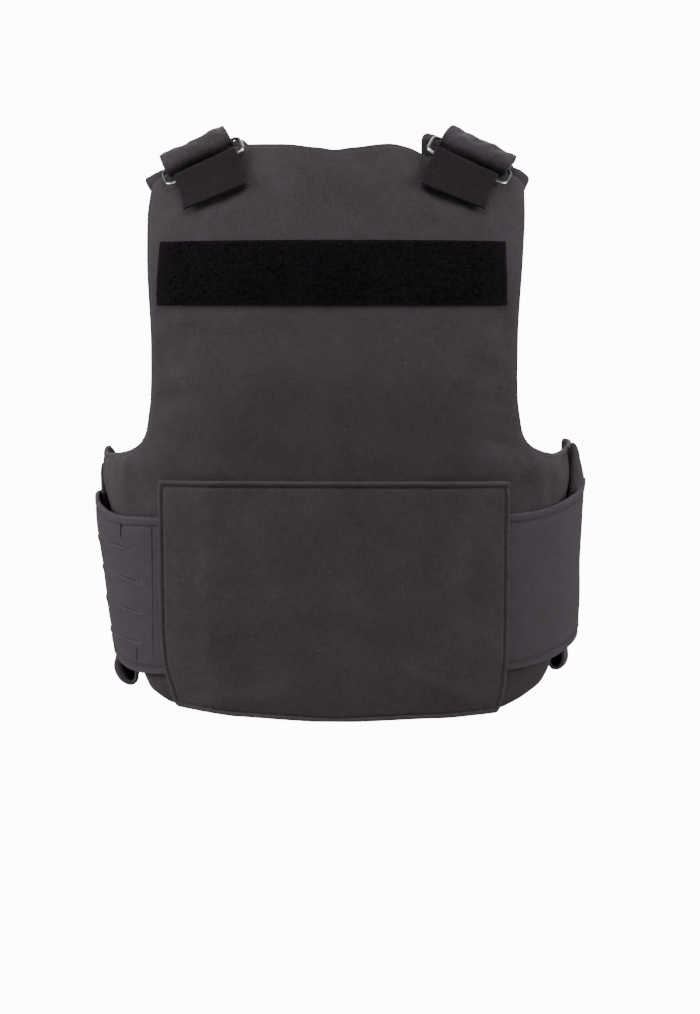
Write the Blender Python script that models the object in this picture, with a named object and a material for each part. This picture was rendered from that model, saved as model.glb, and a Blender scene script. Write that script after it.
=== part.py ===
"""Tactical vest in the form it has when worn.

It has two padded carriers, straps and rings over the shoulders, and a wide band round each side. Sizes
are millimetres, and the meshes are written in metres. The back of the vest faces -Y, the wearer's right
is +X, and the origin lies midway between the shoulder straps, where the vest rests on the shoulders.
"""

import bmesh
import bpy
import numpy as np
from mathutils import Vector
from mathutils.geometry import delaunay_2d_cdt

METRES = 0.001

# Inner form, which every layer is an offset of.
# Below YOKE_Z it is the trunk, and above it curves over the shoulder.
YOKE_Z = -120.0
YOKE_REACH = 120.0  # cloth for one radian of the curve over the shoulder
CREST_X = 110.0  # where the shoulder line passes height 0
SHOULDER_SLOPE = 0.488
NECK_ROUND = 20.0
SECTION_POWER = 2.5  # 2 is an ellipse, and more is squarer
LEVEL_STEP = 10.0
LONGEST_HALF = 640  # longer than any half outline of the trunk

# columns: height, half width on the left, half width on the right, half depth
TRUNK = (
    (-460.0, 160.0, 170.0, 98.0),
    (-421.0, 166.0, 176.0, 100.0),
    (-397.0, 170.4, 179.0, 101.0),
    (-363.0, 175.4, 180.6, 103.0),
    (-330.0, 179.0, 182.3, 104.5),
    (-296.0, 184.5, 184.8, 105.0),
    (-270.0, 185.0, 186.5, 105.5),
    (-240.0, 183.0, 189.5, 106.0),
    (-180.0, 184.0, 189.0, 106.0),
    (-120.0, 184.0, 186.0, 102.0),
)

PANEL_THICK = 14.0
SHOULDER_THICK = 9.0
WING_THICK = 5.0
FRONT_WING_THICK = 7.3
FRONT_WING_OUT = 6.6  # it stands off the inner form, so that the back wing lies inside it
RIM_THICK = 3.0
RIM_ROUND = 11.0
RIM_LIFT = 0.3  # share of the lost thickness that the edge moves out
CLOTH_GAP = 0.4
# Where one thickness blends into the next: along the cloth, or round from the middle.
SHOULDER_BLEND = (15.0, 80.0)
BACK_WING_BLEND = (168.0, 215.0)
FRONT_WING_BLEND = (160.0, 190.0)

# A flat pattern's triangles are picked with its heights squeezed, because its rows lie further apart.
ROW_SQUEEZE = 0.7
PATTERN_ROWS = np.concatenate((np.arange(-340.0, -1.0, 24.0), np.arange(2.0, 200.0, 14.0)))

STRIP_THICK = 2.4
STRIP_GAP = 0.95
STRIP_ENDS = (-142.0, 139.0)
STRIP_TOP, STRIP_BOTTOM = -66.0, -118.0
MOUNT_HALF_WIDTH = 24.0
MOUNT_TOP, MOUNT_BOTTOM = -82.0, -104.0

BAND_OUT = 14.9  # the wide side band lies this far out from the inner form
BAND_THICK = 3.4
BAND_START = 100.0  # from the middle of the back, under the flap
BAND_END = 62.0  # from the middle of the front
# columns: height of the top and of the foot at the flap, and how much each rises round the side
BAND_LEFT = (-286.0, -416.0, 12.0, 15.0)
BAND_RIGHT = (-285.0, -411.5, 18.0, 22.0)
BAND_RISE = (150.0, 250.0)  # from the middle of the back, where the band rises
BAND_STEP = 14.0

FLAP_THICK = 2.6
FLAP_STEP_OUT = (76.0, 96.0)  # from the middle of the back, where it steps out over the bands
BACK_WING_TOP, BACK_WING_FOOT = {-1: -236.0, 1: -229.5}, -397.0
BACK_WING_END = 34.0  # ahead of the widest point of the side
BACK_WING_ROUND = 12.0
# Left and right side.
FRONT_WING_END = {-1: 9.0, 1: 26.0}  # behind the widest point of the side
FRONT_WING_TIP = {-1: 9.0, 1: 33.0}  # the same, at its upper corner
FRONT_WING_TOP = {-1: -248.0, 1: -227.5}
FRONT_WING_ROUND = 5.0
SLEEVE_TOP = -386.8
SLEEVE_BOTTOM = {-1: -434.0, 1: -421.0}
SLEEVE_END = 58.0  # ahead of the widest point, and the front carrier's cut lies clear of it
SLEEVE_CUT_TOP, SLEEVE_CUT_FOOT = 62.0, 63.0

SHOULDER_OUTER = 150.5
BACK_SHOULDER_END, BACK_SHOULDER_INNER = 165.0, 87.0
FRONT_SHOULDER_END, FRONT_SHOULDER_INNER = 181.0, {-1: 87.0, 1: 75.0}
STRAP_HALF_WIDTH = 28.0
STRAP_THICK = 4.0
TAB_HALF_WIDTH = 25.5
STRAP_X = 113.0
STRAP_LEAN = 0.25
STRAP_SKEW = 0.0011
RING_WIRE = 3.6
RING_TOP, RING_FOOT = 47.0, 69.0  # behind the crest of the shoulder, along the cloth
RING_HALF_WIDTH = 32.3
RING_CORNER = 5.0
RING_LIFT, RING_TILT = 5.7, 0.09  # height over the carrier at its middle, and its fall per mm behind that
RING_TUBE_SIDES = 7

FABRIC = (0.052, 0.050, 0.054)
STRAP_CLOTH = (0.034, 0.033, 0.036)
LOOP_CLOTH = (0.008, 0.008, 0.009)
STEEL = (0.62, 0.62, 0.63)


def half_section(height, side):
    """Half outline of the trunk at one height, from the middle of the back to the front, 1 mm apart."""
    heights, left, right, depth = np.array(TRUNK).T
    wide = np.interp(height, heights, left if side < 0 else right)
    deep = np.interp(height, heights, depth)
    turn = np.linspace(0.0, np.pi, 1801)
    x = wide * np.abs(np.sin(turn)) ** (2 / SECTION_POWER)
    y = -deep * np.sign(np.cos(turn)) * np.abs(np.cos(turn)) ** (2 / SECTION_POWER)
    walked = np.concatenate(([0.0], np.cumsum(np.hypot(np.diff(x), np.diff(y)))))
    steps = np.arange(float(LONGEST_HALF))
    return np.array((np.interp(steps, walked, x), np.interp(steps, walked, y))), walked[-1]


LEVELS = np.arange(TRUNK[0][0], YOKE_Z + 1.0, LEVEL_STEP)
SECTIONS = {side: [half_section(level, side)[0] for level in LEVELS] for side in (-1, 1)}


def half_round(height, side):
    """Length of the half outline at this height: the widest point of the side lies half way along it."""
    return half_section(height, side)[1]


def trunk(around, height):
    """(x, y) of the inner form, around mm from the middle of the back."""
    side = -1 if around < 0 else 1
    row = min(max((height - LEVELS[0]) / LEVEL_STEP, 0.0), len(LEVELS) - 1.001)
    column = min(abs(around), LONGEST_HALF - 2.0)
    i, j = int(row), int(column)
    low, high = SECTIONS[side][i], SECTIONS[side][i + 1]
    low = low[:, j] + (low[:, j + 1] - low[:, j]) * (column - j)
    high = high[:, j] + (high[:, j + 1] - high[:, j]) * (column - j)
    x, y = low + (high - low) * (row - i)
    return side * x, y


def crest(x):
    """Height of the shoulder line."""
    return SHOULDER_SLOPE * (np.hypot(CREST_X, NECK_ROUND) - np.hypot(x, NECK_ROUND))


def inner_form(around, along):
    """Point of the inner form. Along is 0 at YOKE_Z, falls down the trunk and rises over the shoulder."""
    height = YOKE_Z + min(along, 0.0)
    x, y = trunk(around, height)
    if along > 0.0:
        turn = along / YOKE_REACH
        height = YOKE_Z + (crest(x) - YOKE_Z) * np.sin(turn)
        y *= np.cos(turn)
    return np.array((x, y, height))


def on_form(around, along, out, front=False):
    """Point out mm off the inner form. The front is the same form, turned over in Y."""
    across = inner_form(around + 1.0, along) - inner_form(around - 1.0, along)
    up = inner_form(around, along + 1.0) - inner_form(around, along - 1.0)
    normal = np.cross(across, up)
    point = inner_form(around, along) + out * normal / np.linalg.norm(normal)
    return point * (1.0, -1.0 if front else 1.0, 1.0)


def seen(x, height, out=5.0):
    """(around, along) of the point out mm off the form that shows at this x and height from behind."""
    around, along = x, height - YOKE_Z
    for _ in range(40):
        point = on_form(around, along, out)
        around += 0.7 * (x - point[0])
        along += 0.7 * (height - point[2])
    return around, along


def blend(value, start, end):
    """0 up to start, 1 from end on, and smooth between them."""
    part = min(max((value - start) / (end - start), 0.0), 1.0)
    return part * part * (3.0 - 2.0 * part)


def material(name, colour, rough, metal=0.0):
    made = bpy.data.materials.get(name)
    if made is None:
        made = bpy.data.materials.new(name)
        made.use_nodes = True
        shader = made.node_tree.nodes["Principled BSDF"]
        shader.inputs["Base Color"].default_value = (*colour, 1.0)
        shader.inputs["Roughness"].default_value = rough
        shader.inputs["Metallic"].default_value = metal
        made.diffuse_color = (*colour, 1.0)
    return made


def solid(name, points, faces, surface):
    """One closed mesh object, facing out."""
    mesh = bpy.data.meshes.new(name)
    mesh.from_pydata([tuple(METRES * value for value in point) for point in points], [], faces)
    shape = bmesh.new()
    shape.from_mesh(mesh)
    bmesh.ops.recalc_face_normals(shape, faces=shape.faces)
    shape.to_mesh(mesh)
    shape.free()
    mesh.materials.append(surface)
    made = bpy.data.objects.new(name, mesh)
    bpy.context.scene.collection.objects.link(made)
    return made


def divided(outline, step):
    """The closed outline with no side longer than step."""
    found = []
    for start, end in zip(outline, outline[1:] + outline[:1]):
        start, end = np.array(start, float), np.array(end, float)
        count = max(1, int(np.ceil(np.linalg.norm(end - start) / step)))
        found += [start + (end - start) * k / count for k in range(count)]
    return np.array(found)


def inside(points, outline):
    """True for each point within the closed outline."""
    found = np.zeros(len(points), bool)
    for start, end in zip(outline, np.roll(outline, -1, axis=0)):
        spans = (start[1] > points[:, 1]) != (end[1] > points[:, 1])
        if not spans.any():
            continue
        x = start[0] + (points[:, 1] - start[1]) * (end[0] - start[0]) / (end[1] - start[1])
        found ^= spans & (points[:, 0] < x)
    return found


def edge_distance(points, outline):
    """Distance from each point to the outline."""
    best = np.full(len(points), np.inf)
    for start, end in zip(outline, np.roll(outline, -1, axis=0)):
        side = end - start
        part = np.clip((points - start) @ side / (side @ side), 0.0, 1.0)
        best = np.minimum(best, np.linalg.norm(points - start - part[:, None] * side, axis=1))
    return best


def flat_pattern(outline, step, rows, rounding):
    """The cut piece laid flat: its points, edge first, its triangles and each point's edge distance."""
    edge = divided(outline, step)
    ahead = np.roll(edge, -1, axis=0) - np.roll(edge, 1, axis=0)
    inward = np.stack((-ahead[:, 1], ahead[:, 0]), axis=1) / np.linalg.norm(ahead, axis=1)[:, None]
    area = np.sum(edge[:, 0] * np.roll(edge[:, 1], -1) - np.roll(edge[:, 0], -1) * edge[:, 1])
    ring = edge + inward * (np.sign(area) * 0.4 * rounding)
    low, high = edge.min(axis=0), edge.max(axis=0)
    columns = np.arange(np.ceil(low[0] / step) * step, high[0], step)
    grid = np.array([(x, y) for y in rows if low[1] < y < high[1] for x in columns])
    within, ring_within = inside(grid, edge), inside(ring, edge)
    grid = grid[within & (edge_distance(grid, edge) > rounding + 0.35 * step)]
    if rounding > 0.0:
        ring = ring[ring_within & (edge_distance(ring, edge) > 0.36 * rounding)]
        grid = np.concatenate((ring, grid))
    flat = np.concatenate((edge, grid))
    squeezed = [Vector((x, ROW_SQUEEZE * y)) for x, y in flat]
    border = [(k, (k + 1) % len(edge)) for k in range(len(edge))]
    result = delaunay_2d_cdt(squeezed, border, [], 1, 1e-6)
    flat = np.array([(point.x, point.y / ROW_SQUEEZE) for point in result[0]])
    return flat, [tuple(face) for face in result[2]], edge_distance(flat, edge)


def outer_edges(faces):
    """Directed edges that only one triangle has."""
    directed = {(a, b) for face in faces for a, b in zip(face, face[1:] + face[:1])}
    return [(a, b) for a, b in directed if (b, a) not in directed]


def wrapped(name, outline, cover, surface, step=16.5, rounding=0.0, front=False):
    """A flat pattern wrapped round the form. Cover gives (distance out, thickness) where it lies."""
    flat, faces, depth = flat_pattern(outline, step, PATTERN_ROWS, rounding)
    near, far = [], []
    for (around, along), inset in zip(flat, depth):
        out, thick = cover(around, along)
        if rounding > 0.0:
            swell = np.sqrt(max(0.0, 1.0 - (1.0 - min(inset / rounding, 1.0)) ** 2))
            full, thick = thick, RIM_THICK + (thick - RIM_THICK) * swell
            out += RIM_LIFT * (full - thick)
        near.append(on_form(around, along, out, front))
        far.append(on_form(around, along, out + thick, front))
    count = len(flat)
    skins = [tuple(k + count for k in face) for face in faces] + [face[::-1] for face in faces]
    rim = [(b, a, a + count, b + count) for a, b in outer_edges(faces)]
    return solid(name, near + far, skins + rim, surface)


def folded(name, line, thick, stations, place, surface):
    """A band whose long section follows line, (along the cloth, height) points, set at each station."""
    line = np.array(line, float)
    ahead = np.gradient(line, axis=0)
    ahead /= np.linalg.norm(ahead, axis=1)[:, None]
    half = 0.5 * np.broadcast_to(thick, len(line))[:, None]
    normal = np.stack((-ahead[:, 1], ahead[:, 0]), axis=1)
    sides = np.concatenate((line + half * normal, line - half * normal))
    points = [place(across, along, height) for across in stations for along, height in sides]
    n, faces = len(line), []
    for s in range(len(stations) - 1):
        here, there = 2 * n * s, 2 * n * (s + 1)
        loop = list(range(n)) + list(range(2 * n - 1, n - 1, -1))
        for a, b in zip(loop, loop[1:] + loop[:1]):
            faces.append((here + a, here + b, there + b, there + a))
    for start in (0, 2 * n * (len(stations) - 1)):
        faces += [(start + k, start + k + 1, start + n + k + 1, start + n + k) for k in range(n - 1)]
    return solid(name, points, faces, surface)


def mirrored(right, left):
    """A closed outline from its right edge, top to bottom, and its left edge, also top to bottom."""
    return list(right) + list(left)[::-1]


def rounded_corner(corner, before, after, size, count=4):
    """Points that round one corner of an outline."""
    corner, before, after = (np.array(point, float) for point in (corner, before, after))
    start = corner + (before - corner) * size / np.linalg.norm(before - corner)
    end = corner + (after - corner) * size / np.linalg.norm(after - corner)
    parts = np.linspace(0.0, 1.0, count)
    return [tuple((1 - t) ** 2 * start + 2 * t * (1 - t) * corner + t**2 * end) for t in parts]


# columns: sideways, height, as seen from behind, from the neck out
BACK_NECK_RIGHT = ((20.0, 10.0), (46.0, 13.0), (62.0, 9.0), (76.0, 1.0))
BACK_NECK_LEFT = ((-20.0, 10.0), (-54.0, 13.0), (-74.0, 12.5), (-84.0, 11.0))
# columns: sideways, height, down the arm opening
ARM_OPENING = (
    (154.0, -44.0),
    (153.5, -60.0),
    (151.5, -82.0),
    (149.0, -105.0),
    (147.0, -137.0),
    (146.5, -177.0),
    (147.0, -195.0),
    (149.0, -210.0),
    (150.2, -219.0),
    (153.0, -226.5),
    (158.5, -232.3),
    (167.0, -236.6),
    (176.0, -238.8),
)
WING_START = {-1: (-181.0, -239.0), 1: (181.0, -239.0)}
# columns: sideways, height, round the lower edge of the back, from the side inwards
BACK_HEM_RIGHT = (
    (179.0, -397.0),
    (176.0, -404.0),
    (171.0, -415.0),
    (163.5, -426.5),
    (148.5, -437.0),
    (134.0, -444.0),
    (105.0, -447.5),
    (40.0, -449.0),
)
BACK_HEM_LEFT = (
    (-165.0, -399.0),
    (-157.0, -408.0),
    (-154.0, -418.0),
    (-148.0, -431.0),
    (-132.0, -441.0),
    (-100.0, -446.0),
    (-40.0, -448.0),
)


def side_middle(along, side):
    """Distance round to the widest point of the side."""
    return side * 0.5 * half_round(YOKE_Z + min(along, 0.0), side)


def back_half(side, neck, hem):
    """One half of the back carrier's outline, from the middle of the neck to the middle of the hem."""
    tip = BACK_SHOULDER_END
    # columns: sideways, along the cloth, across the end that reaches over the shoulder
    shoulder = (
        (BACK_SHOULDER_INNER + 2.0, tip - 6.0),
        (BACK_SHOULDER_INNER + 8.0, tip),
        (SHOULDER_OUTER - 2.0, tip),
        (SHOULDER_OUTER + 4.0, tip - 14.0),
    )
    edge = [seen(*point) for point in neck]
    edge += [(side * across, along) for across, along in shoulder]
    edge += [seen(side * x, height) for x, height in ARM_OPENING]
    top, foot = BACK_WING_TOP[side] - YOKE_Z, BACK_WING_FOOT - YOKE_Z
    upper, lower = (side_middle(along, side) + side * BACK_WING_END for along in (top, foot))
    start, crest = seen(*WING_START[side]), (side_middle(top, side), top)
    edge += [start, crest]
    edge += rounded_corner((upper, top), crest, (upper, foot), BACK_WING_ROUND)
    edge += rounded_corner((lower, foot), (upper, top), (start[0], foot), BACK_WING_ROUND)
    return edge + [seen(*point) for point in hem]


def back_cover(around, along):
    """The back carrier is padded, thinner on the shoulders and thin in the wings."""
    thick = PANEL_THICK + (SHOULDER_THICK - PANEL_THICK) * blend(along, *SHOULDER_BLEND)
    thick += (WING_THICK - thick) * blend(abs(around), *BACK_WING_BLEND)
    return 0.0, thick


def back_panel(surface):
    outline = mirrored([seen(0.0, 7.0)] + back_half(1, BACK_NECK_RIGHT, BACK_HEM_RIGHT),
                       back_half(-1, BACK_NECK_LEFT, BACK_HEM_LEFT))
    return wrapped("back_panel", outline, back_cover, surface, rounding=RIM_ROUND)


# columns: sideways, height, seen from in front, from the neck out
FRONT_NECK = ((25.0, -61.0), (45.0, -55.0), (60.0, -42.0), (70.0, -24.0), (76.0, -8.0))
# columns: sideways, height, down the arm opening of the front
FRONT_ARM = (
    (147.0, -50.0),
    (141.0, -80.0),
    (136.0, -115.0),
    (134.0, -150.0),
    (136.0, -185.0),
    (142.0, -212.0),
    (151.0, -232.0),
    (164.0, -245.0),
    (178.0, -250.0),
)
FRONT_HEM = ((128.0, -440.0), (100.0, -444.0), (40.0, -446.0))
# columns: distance behind the widest point of the side, height, along the top of each front wing
FRONT_WING_EDGE = {
    -1: ((-8.0, -254.0), (2.0, -250.5)),
    1: ((-8.0, -254.0), (5.0, -249.0), (15.0, -242.0), (25.0, -234.0)),
}


def front_half(side):
    """One half of the front carrier's outline, from the middle of the neck to the middle of the hem."""
    tip, inner = FRONT_SHOULDER_END, FRONT_SHOULDER_INNER[side]
    # columns: sideways, along the cloth, across the end that reaches over the shoulder
    shoulder = (
        (inner + 2.0, tip - 5.0),
        (inner + 8.0, tip),
        (SHOULDER_OUTER + 4.0, tip),
        (SHOULDER_OUTER + 9.0, tip - 13.0),
    )
    edge = [seen(side * x, height) for x, height in FRONT_NECK]
    edge += [(side * across, along) for across, along in shoulder]
    edge += [seen(side * x, height) for x, height in FRONT_ARM]
    top, foot = FRONT_WING_TOP[side] - YOKE_Z, SLEEVE_TOP + 2 * CLOTH_GAP - YOKE_Z
    low = SLEEVE_BOTTOM[side] - YOKE_Z
    lower = side_middle(foot, side) + side * FRONT_WING_END[side]
    middle = side_middle(top, side)
    edge += [(middle + side * behind, height - YOKE_Z) for behind, height in FRONT_WING_EDGE[side]]
    upper = (middle + side * FRONT_WING_TIP[side], top)
    edge += rounded_corner(upper, edge[-1], (lower, foot), FRONT_WING_ROUND)
    edge += [(lower, foot)]
    edge += [(side_middle(foot, side) - side * SLEEVE_CUT_TOP, foot)]
    edge += [(side_middle(low, side) - side * SLEEVE_CUT_FOOT, low)]
    return edge + [seen(side * x, height) for x, height in FRONT_HEM]


def front_cover(around, along):
    """The front carrier is padded too, and its wing stands off the inner form."""
    thick = PANEL_THICK + (SHOULDER_THICK - PANEL_THICK) * blend(along, *SHOULDER_BLEND)
    wing = blend(abs(around), *FRONT_WING_BLEND)
    return wing * FRONT_WING_OUT, thick + (FRONT_WING_THICK - thick) * wing


def front_panel(surface):
    outline = mirrored([seen(0.0, -62.0)] + front_half(1), front_half(-1))
    return wrapped("front_panel", outline, front_cover, surface, rounding=RIM_ROUND, front=True)


def back_loop_strip(surface):
    """The loop strip is a grid, and its widest field is one flat face, where a patch can be set."""
    left, right = STRIP_ENDS
    field = ((left, -MOUNT_HALF_WIDTH), (MOUNT_HALF_WIDTH, right))
    columns = np.concatenate([np.linspace(start, end, 9) for start, end in field])
    rows = (STRIP_TOP, -74.0, MOUNT_TOP, MOUNT_BOTTOM, -111.0, STRIP_BOTTOM)
    near = [seen(x, height, PANEL_THICK) for height in rows for x in columns]
    points = []
    for out in (STRIP_GAP, STRIP_GAP + STRIP_THICK):
        points += [on_form(around, along, back_cover(around, along)[1] + out) for around, along in near]
    wide, count = len(columns), len(columns) * len(rows)
    cells = [(r * wide + c, r * wide + c + 1, (r + 1) * wide + c + 1, (r + 1) * wide + c)
             for r in range(len(rows) - 1) for c in range(wide - 1)]
    rim = [(b, a, a + count, b + count) for a, b in outer_edges(cells)]
    faces = [tuple(k + count for k in cell) for cell in cells] + [cell[::-1] for cell in cells] + rim
    return solid("back_loop_strip", points, faces, surface)


# columns: sideways, height, down the right side of the flap and down its left side
FLAP_RIGHT = (
    (143.0, -259.0),
    (142.5, -340.0),
    (141.5, -400.0),
    (138.5, -425.0),
    (135.5, -440.0),
    (131.0, -446.5),
)
FLAP_LEFT = (
    (-143.5, -259.0),
    (-142.5, -340.0),
    (-141.0, -385.0),
    (-137.5, -412.0),
    (-129.0, -438.0),
    (-125.0, -442.5),
)
FLAP_FOOT = ((90.0, -449.3), (0.0, -452.5), (-80.0, -448.5))


def flap_cover(around, along):
    """The flap lies on the carrier, and over the side bands it stands off by their thickness."""
    over_band = BAND_OUT + BAND_THICK + 0.1 - PANEL_THICK
    return PANEL_THICK + CLOTH_GAP + over_band * blend(abs(around), *FLAP_STEP_OUT), FLAP_THICK


def back_flap(surface):
    outline = [seen(*point, out=20.0) for point in (*FLAP_RIGHT, *FLAP_FOOT, *FLAP_LEFT[::-1])]
    return wrapped("back_flap", outline, flap_cover, surface, step=BAND_STEP)


def band_cover(around, along):
    return BAND_OUT, BAND_THICK


def cummerbund(name, side, sizes, surface):
    """A wide band from under the flap, round the side, to its end on the front carrier."""
    top, foot, top_rise, foot_rise = sizes
    length = half_round(0.5 * (top + foot), side) - BAND_END
    stops = [*np.arange(BAND_START, length, BAND_STEP), length]
    upper = [(side * x, top + top_rise * blend(x, *BAND_RISE) - YOKE_Z) for x in stops]
    lower = [(side * x, foot + foot_rise * blend(x, *BAND_RISE) - YOKE_Z) for x in stops]
    return wrapped(name, upper + lower[::-1], band_cover, surface, step=BAND_STEP)


# columns: distance out, height above the lowest point of the fold, thickness
# The rows run down the outer wall, round the fold and up the inner wall.
SLEEVE_LEFT = (
    (10.4, 47.2, 3.2), (10.4, 38.0, 3.2), (10.8, 29.0, 3.6), (15.0, 21.0, 6.6), (16.4, 15.0, 8.4),
    (14.8, 8.6, 7.8), (11.4, 4.2, 6.0), (8.0, 3.2, 4.4), (5.2, 5.2, 3.4), (3.4, 10.0, 3.0),
    (2.2, 18.0, 3.0), (0.0, 26.0, 3.0), (-3.4, 34.0, 3.0), (-4.6, 42.0, 3.0), (-4.6, 52.0, 3.0),
)
SLEEVE_RIGHT = (
    (10.4, 34.2, 3.2), (10.4, 26.0, 3.2), (10.8, 19.0, 4.0), (12.4, 13.0, 5.6), (12.4, 8.4, 6.0),
    (10.6, 4.6, 5.6), (8.0, 2.8, 4.6), (5.6, 3.0, 3.6), (3.4, 5.6, 3.0), (2.0, 10.0, 3.0),
    (-0.4, 16.0, 3.0), (-3.6, 22.0, 3.0), (-4.8, 30.0, 3.0), (-4.8, 42.0, 3.0),
)


def side_sleeve(name, side, line, surface):
    """The lower end of the front wing: its two walls, joined in a round fold under the back wing."""
    out, above, thick = np.array(line).T
    stations = np.linspace(-FRONT_WING_END[side], SLEEVE_END, 7)

    def place(station, out, above):
        along = SLEEVE_BOTTOM[side] + above - YOKE_Z
        return on_form(side_middle(along, side) + side * station, along, out)

    return folded(name, np.stack((out, above), axis=1), thick, stations, place, surface)


def over_shoulder(side):
    """Placing function for a strap: across it, behind the crest along the cloth, up from the carrier."""
    top = YOKE_REACH * np.pi / 2

    def place(across, behind, height):
        lean = STRAP_LEAN * (np.hypot(behind, 25.0) - 25.0)
        along = top - behind - STRAP_SKEW * behind * across
        return on_form(side * (STRAP_X - lean + across), along, SHOULDER_THICK + CLOTH_GAP + height)

    return place


# columns: behind the crest along the cloth, height of the middle of the cloth over the carrier
FRONT_STRAP_LINE = (
    *((float(behind), 2.4) for behind in range(-84, 37, 12)),
    (45.0, 2.4), (49.8, 3.2), (52.2, 5.6), (52.2, 8.4), (49.8, 10.6), (45.0, 11.5),
    (36.0, 11.7), (27.0, 11.3), (21.4, 10.0), (18.6, 7.4),
)


def front_strap(name, side, surface):
    """The padded strap from the front carrier, over the shoulder and back round the ring's upper bar."""
    stations = np.linspace(-STRAP_HALF_WIDTH, STRAP_HALF_WIDTH, 7)
    return folded(name, FRONT_STRAP_LINE, STRAP_THICK, stations, over_shoulder(side), surface)


def ring_path():
    """The ring's centre line: (across, behind its middle, direction out of it), once round."""
    reach = 0.5 * (RING_FOOT - RING_TOP)
    quarter = np.pi / 2
    path = []
    for k, (right, down) in enumerate(((1, 1), (-1, 1), (-1, -1), (1, -1))):
        middle = np.array((right * (RING_HALF_WIDTH - RING_CORNER), down * (reach - RING_CORNER)))
        for turn in np.linspace(k * quarter, (k + 1) * quarter, 5):
            corner = middle + RING_CORNER * np.array((np.cos(turn), np.sin(turn)))
            path.append((*corner, turn))
        if k % 2 == 0:
            # The long bars follow the curve of the shoulder, so they have points between their corners.
            path += [(-right * across, down * reach, (k + 1) * quarter) for across in (-15.0, 0.0, 15.0)]
    return path


def shoulder_ring(name, side, surface):
    """A closed wire ring with rounded corners that joins the two straps."""
    place, path = over_shoulder(side), ring_path()
    middle, wire = 0.5 * (RING_TOP + RING_FOOT), 0.5 * RING_WIRE
    tube = np.linspace(0.0, 2 * np.pi, RING_TUBE_SIDES + 1)[:-1]
    points = []
    for across, behind, turn in path:
        for angle in tube:
            out = wire * np.cos(angle)
            lift = RING_LIFT + wire * np.sin(angle) - RING_TILT * behind
            points.append(place(across + out * np.cos(turn), middle + behind + out * np.sin(turn), lift))
    n, m = len(path), len(tube)
    faces = []
    for i in range(n):
        here, there = i * m, (i + 1) % n * m
        faces += [(here + j, there + j, there + (j + 1) % m, here + (j + 1) % m) for j in range(m)]
    return solid(name, points, faces, surface)


# columns: behind the crest along the cloth, height of the middle of the cloth, thickness
BACK_STRAP_LINE = (
    (97.0, 1.5, 2.2), (89.0, 1.5, 2.2), (80.0, 1.5, 2.2), (71.0, 1.2, 2.2), (66.8, 1.6, 2.2),
    (64.6, 3.2, 2.2), (64.2, 5.8, 2.2), (65.8, 8.4, 2.2), (69.6, 9.2, 2.2), (76.0, 7.8, 2.4),
    (84.0, 6.0, 2.6), (91.0, 5.2, 2.8), (93.5, 5.4, 4.4), (105.0, 6.2, 4.4), (106.5, 6.3, 3.4),
)


def back_strap(name, side, surface):
    """The strap from the back carrier, round the ring's lower bar and down again as a hemmed tab."""
    along, height, thick = np.array(BACK_STRAP_LINE).T
    stations = np.linspace(-TAB_HALF_WIDTH, TAB_HALF_WIDTH, 6)
    return folded(name, np.stack((along, height), axis=1), thick, stations, over_shoulder(side), surface)


def build():
    for thing in list(bpy.data.objects):
        bpy.data.objects.remove(thing, do_unlink=True)
    sleeve_cloth = material("sleeve_cloth", FABRIC, 0.85)
    strap_cloth = material("strap_cloth", STRAP_CLOTH, 0.8)
    tab_cloth = material("tab_cloth", STRAP_CLOTH, 0.8)
    ring_steel = material("ring_steel", STEEL, 0.3, 1.0)
    back_panel(material("back_cloth", FABRIC, 0.85))
    front_panel(material("front_cloth", FABRIC, 0.85))
    back_loop_strip(material("loop_cloth", LOOP_CLOTH, 0.95))
    back_flap(material("flap_cloth", FABRIC, 0.85))
    sides = (("left", -1, BAND_LEFT, SLEEVE_LEFT), ("right", 1, BAND_RIGHT, SLEEVE_RIGHT))
    for word, side, band, sleeve in sides:
        cummerbund(f"cummerbund_{word}", side, band, material(f"band_{word}_cloth", FABRIC, 0.85))
        side_sleeve(f"side_sleeve_{word}", side, sleeve, sleeve_cloth)
        front_strap(f"front_strap_{word}", side, strap_cloth)
        shoulder_ring(f"shoulder_ring_{word}", side, ring_steel)
        back_strap(f"back_strap_{word}", side, tab_cloth)


build()
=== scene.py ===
import math

import bmesh
import bpy
import numpy as np
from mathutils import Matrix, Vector, noise
from mathutils.geometry import delaunay_2d_cdt


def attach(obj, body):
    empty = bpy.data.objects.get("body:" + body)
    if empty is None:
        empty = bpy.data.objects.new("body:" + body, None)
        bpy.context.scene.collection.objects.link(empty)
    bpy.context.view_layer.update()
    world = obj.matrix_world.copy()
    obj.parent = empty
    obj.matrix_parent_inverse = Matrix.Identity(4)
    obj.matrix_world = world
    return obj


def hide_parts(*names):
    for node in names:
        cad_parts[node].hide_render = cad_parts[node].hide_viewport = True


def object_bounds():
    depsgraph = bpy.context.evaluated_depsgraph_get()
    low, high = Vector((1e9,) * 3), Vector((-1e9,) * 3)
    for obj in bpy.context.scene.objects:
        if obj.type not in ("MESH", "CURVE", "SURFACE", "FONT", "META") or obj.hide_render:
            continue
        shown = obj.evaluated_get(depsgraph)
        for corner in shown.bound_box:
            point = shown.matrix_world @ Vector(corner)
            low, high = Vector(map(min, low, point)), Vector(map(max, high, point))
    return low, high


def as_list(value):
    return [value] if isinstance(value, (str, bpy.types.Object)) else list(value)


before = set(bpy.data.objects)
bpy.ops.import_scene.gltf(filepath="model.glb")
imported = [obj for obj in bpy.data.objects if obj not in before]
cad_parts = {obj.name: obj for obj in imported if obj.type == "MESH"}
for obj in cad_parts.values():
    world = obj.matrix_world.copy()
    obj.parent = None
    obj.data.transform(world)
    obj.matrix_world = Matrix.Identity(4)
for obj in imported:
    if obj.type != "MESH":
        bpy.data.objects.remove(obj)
cad_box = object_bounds()

# Sizes are in millimetres until a mesh is written.
METRES = 0.001

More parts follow.
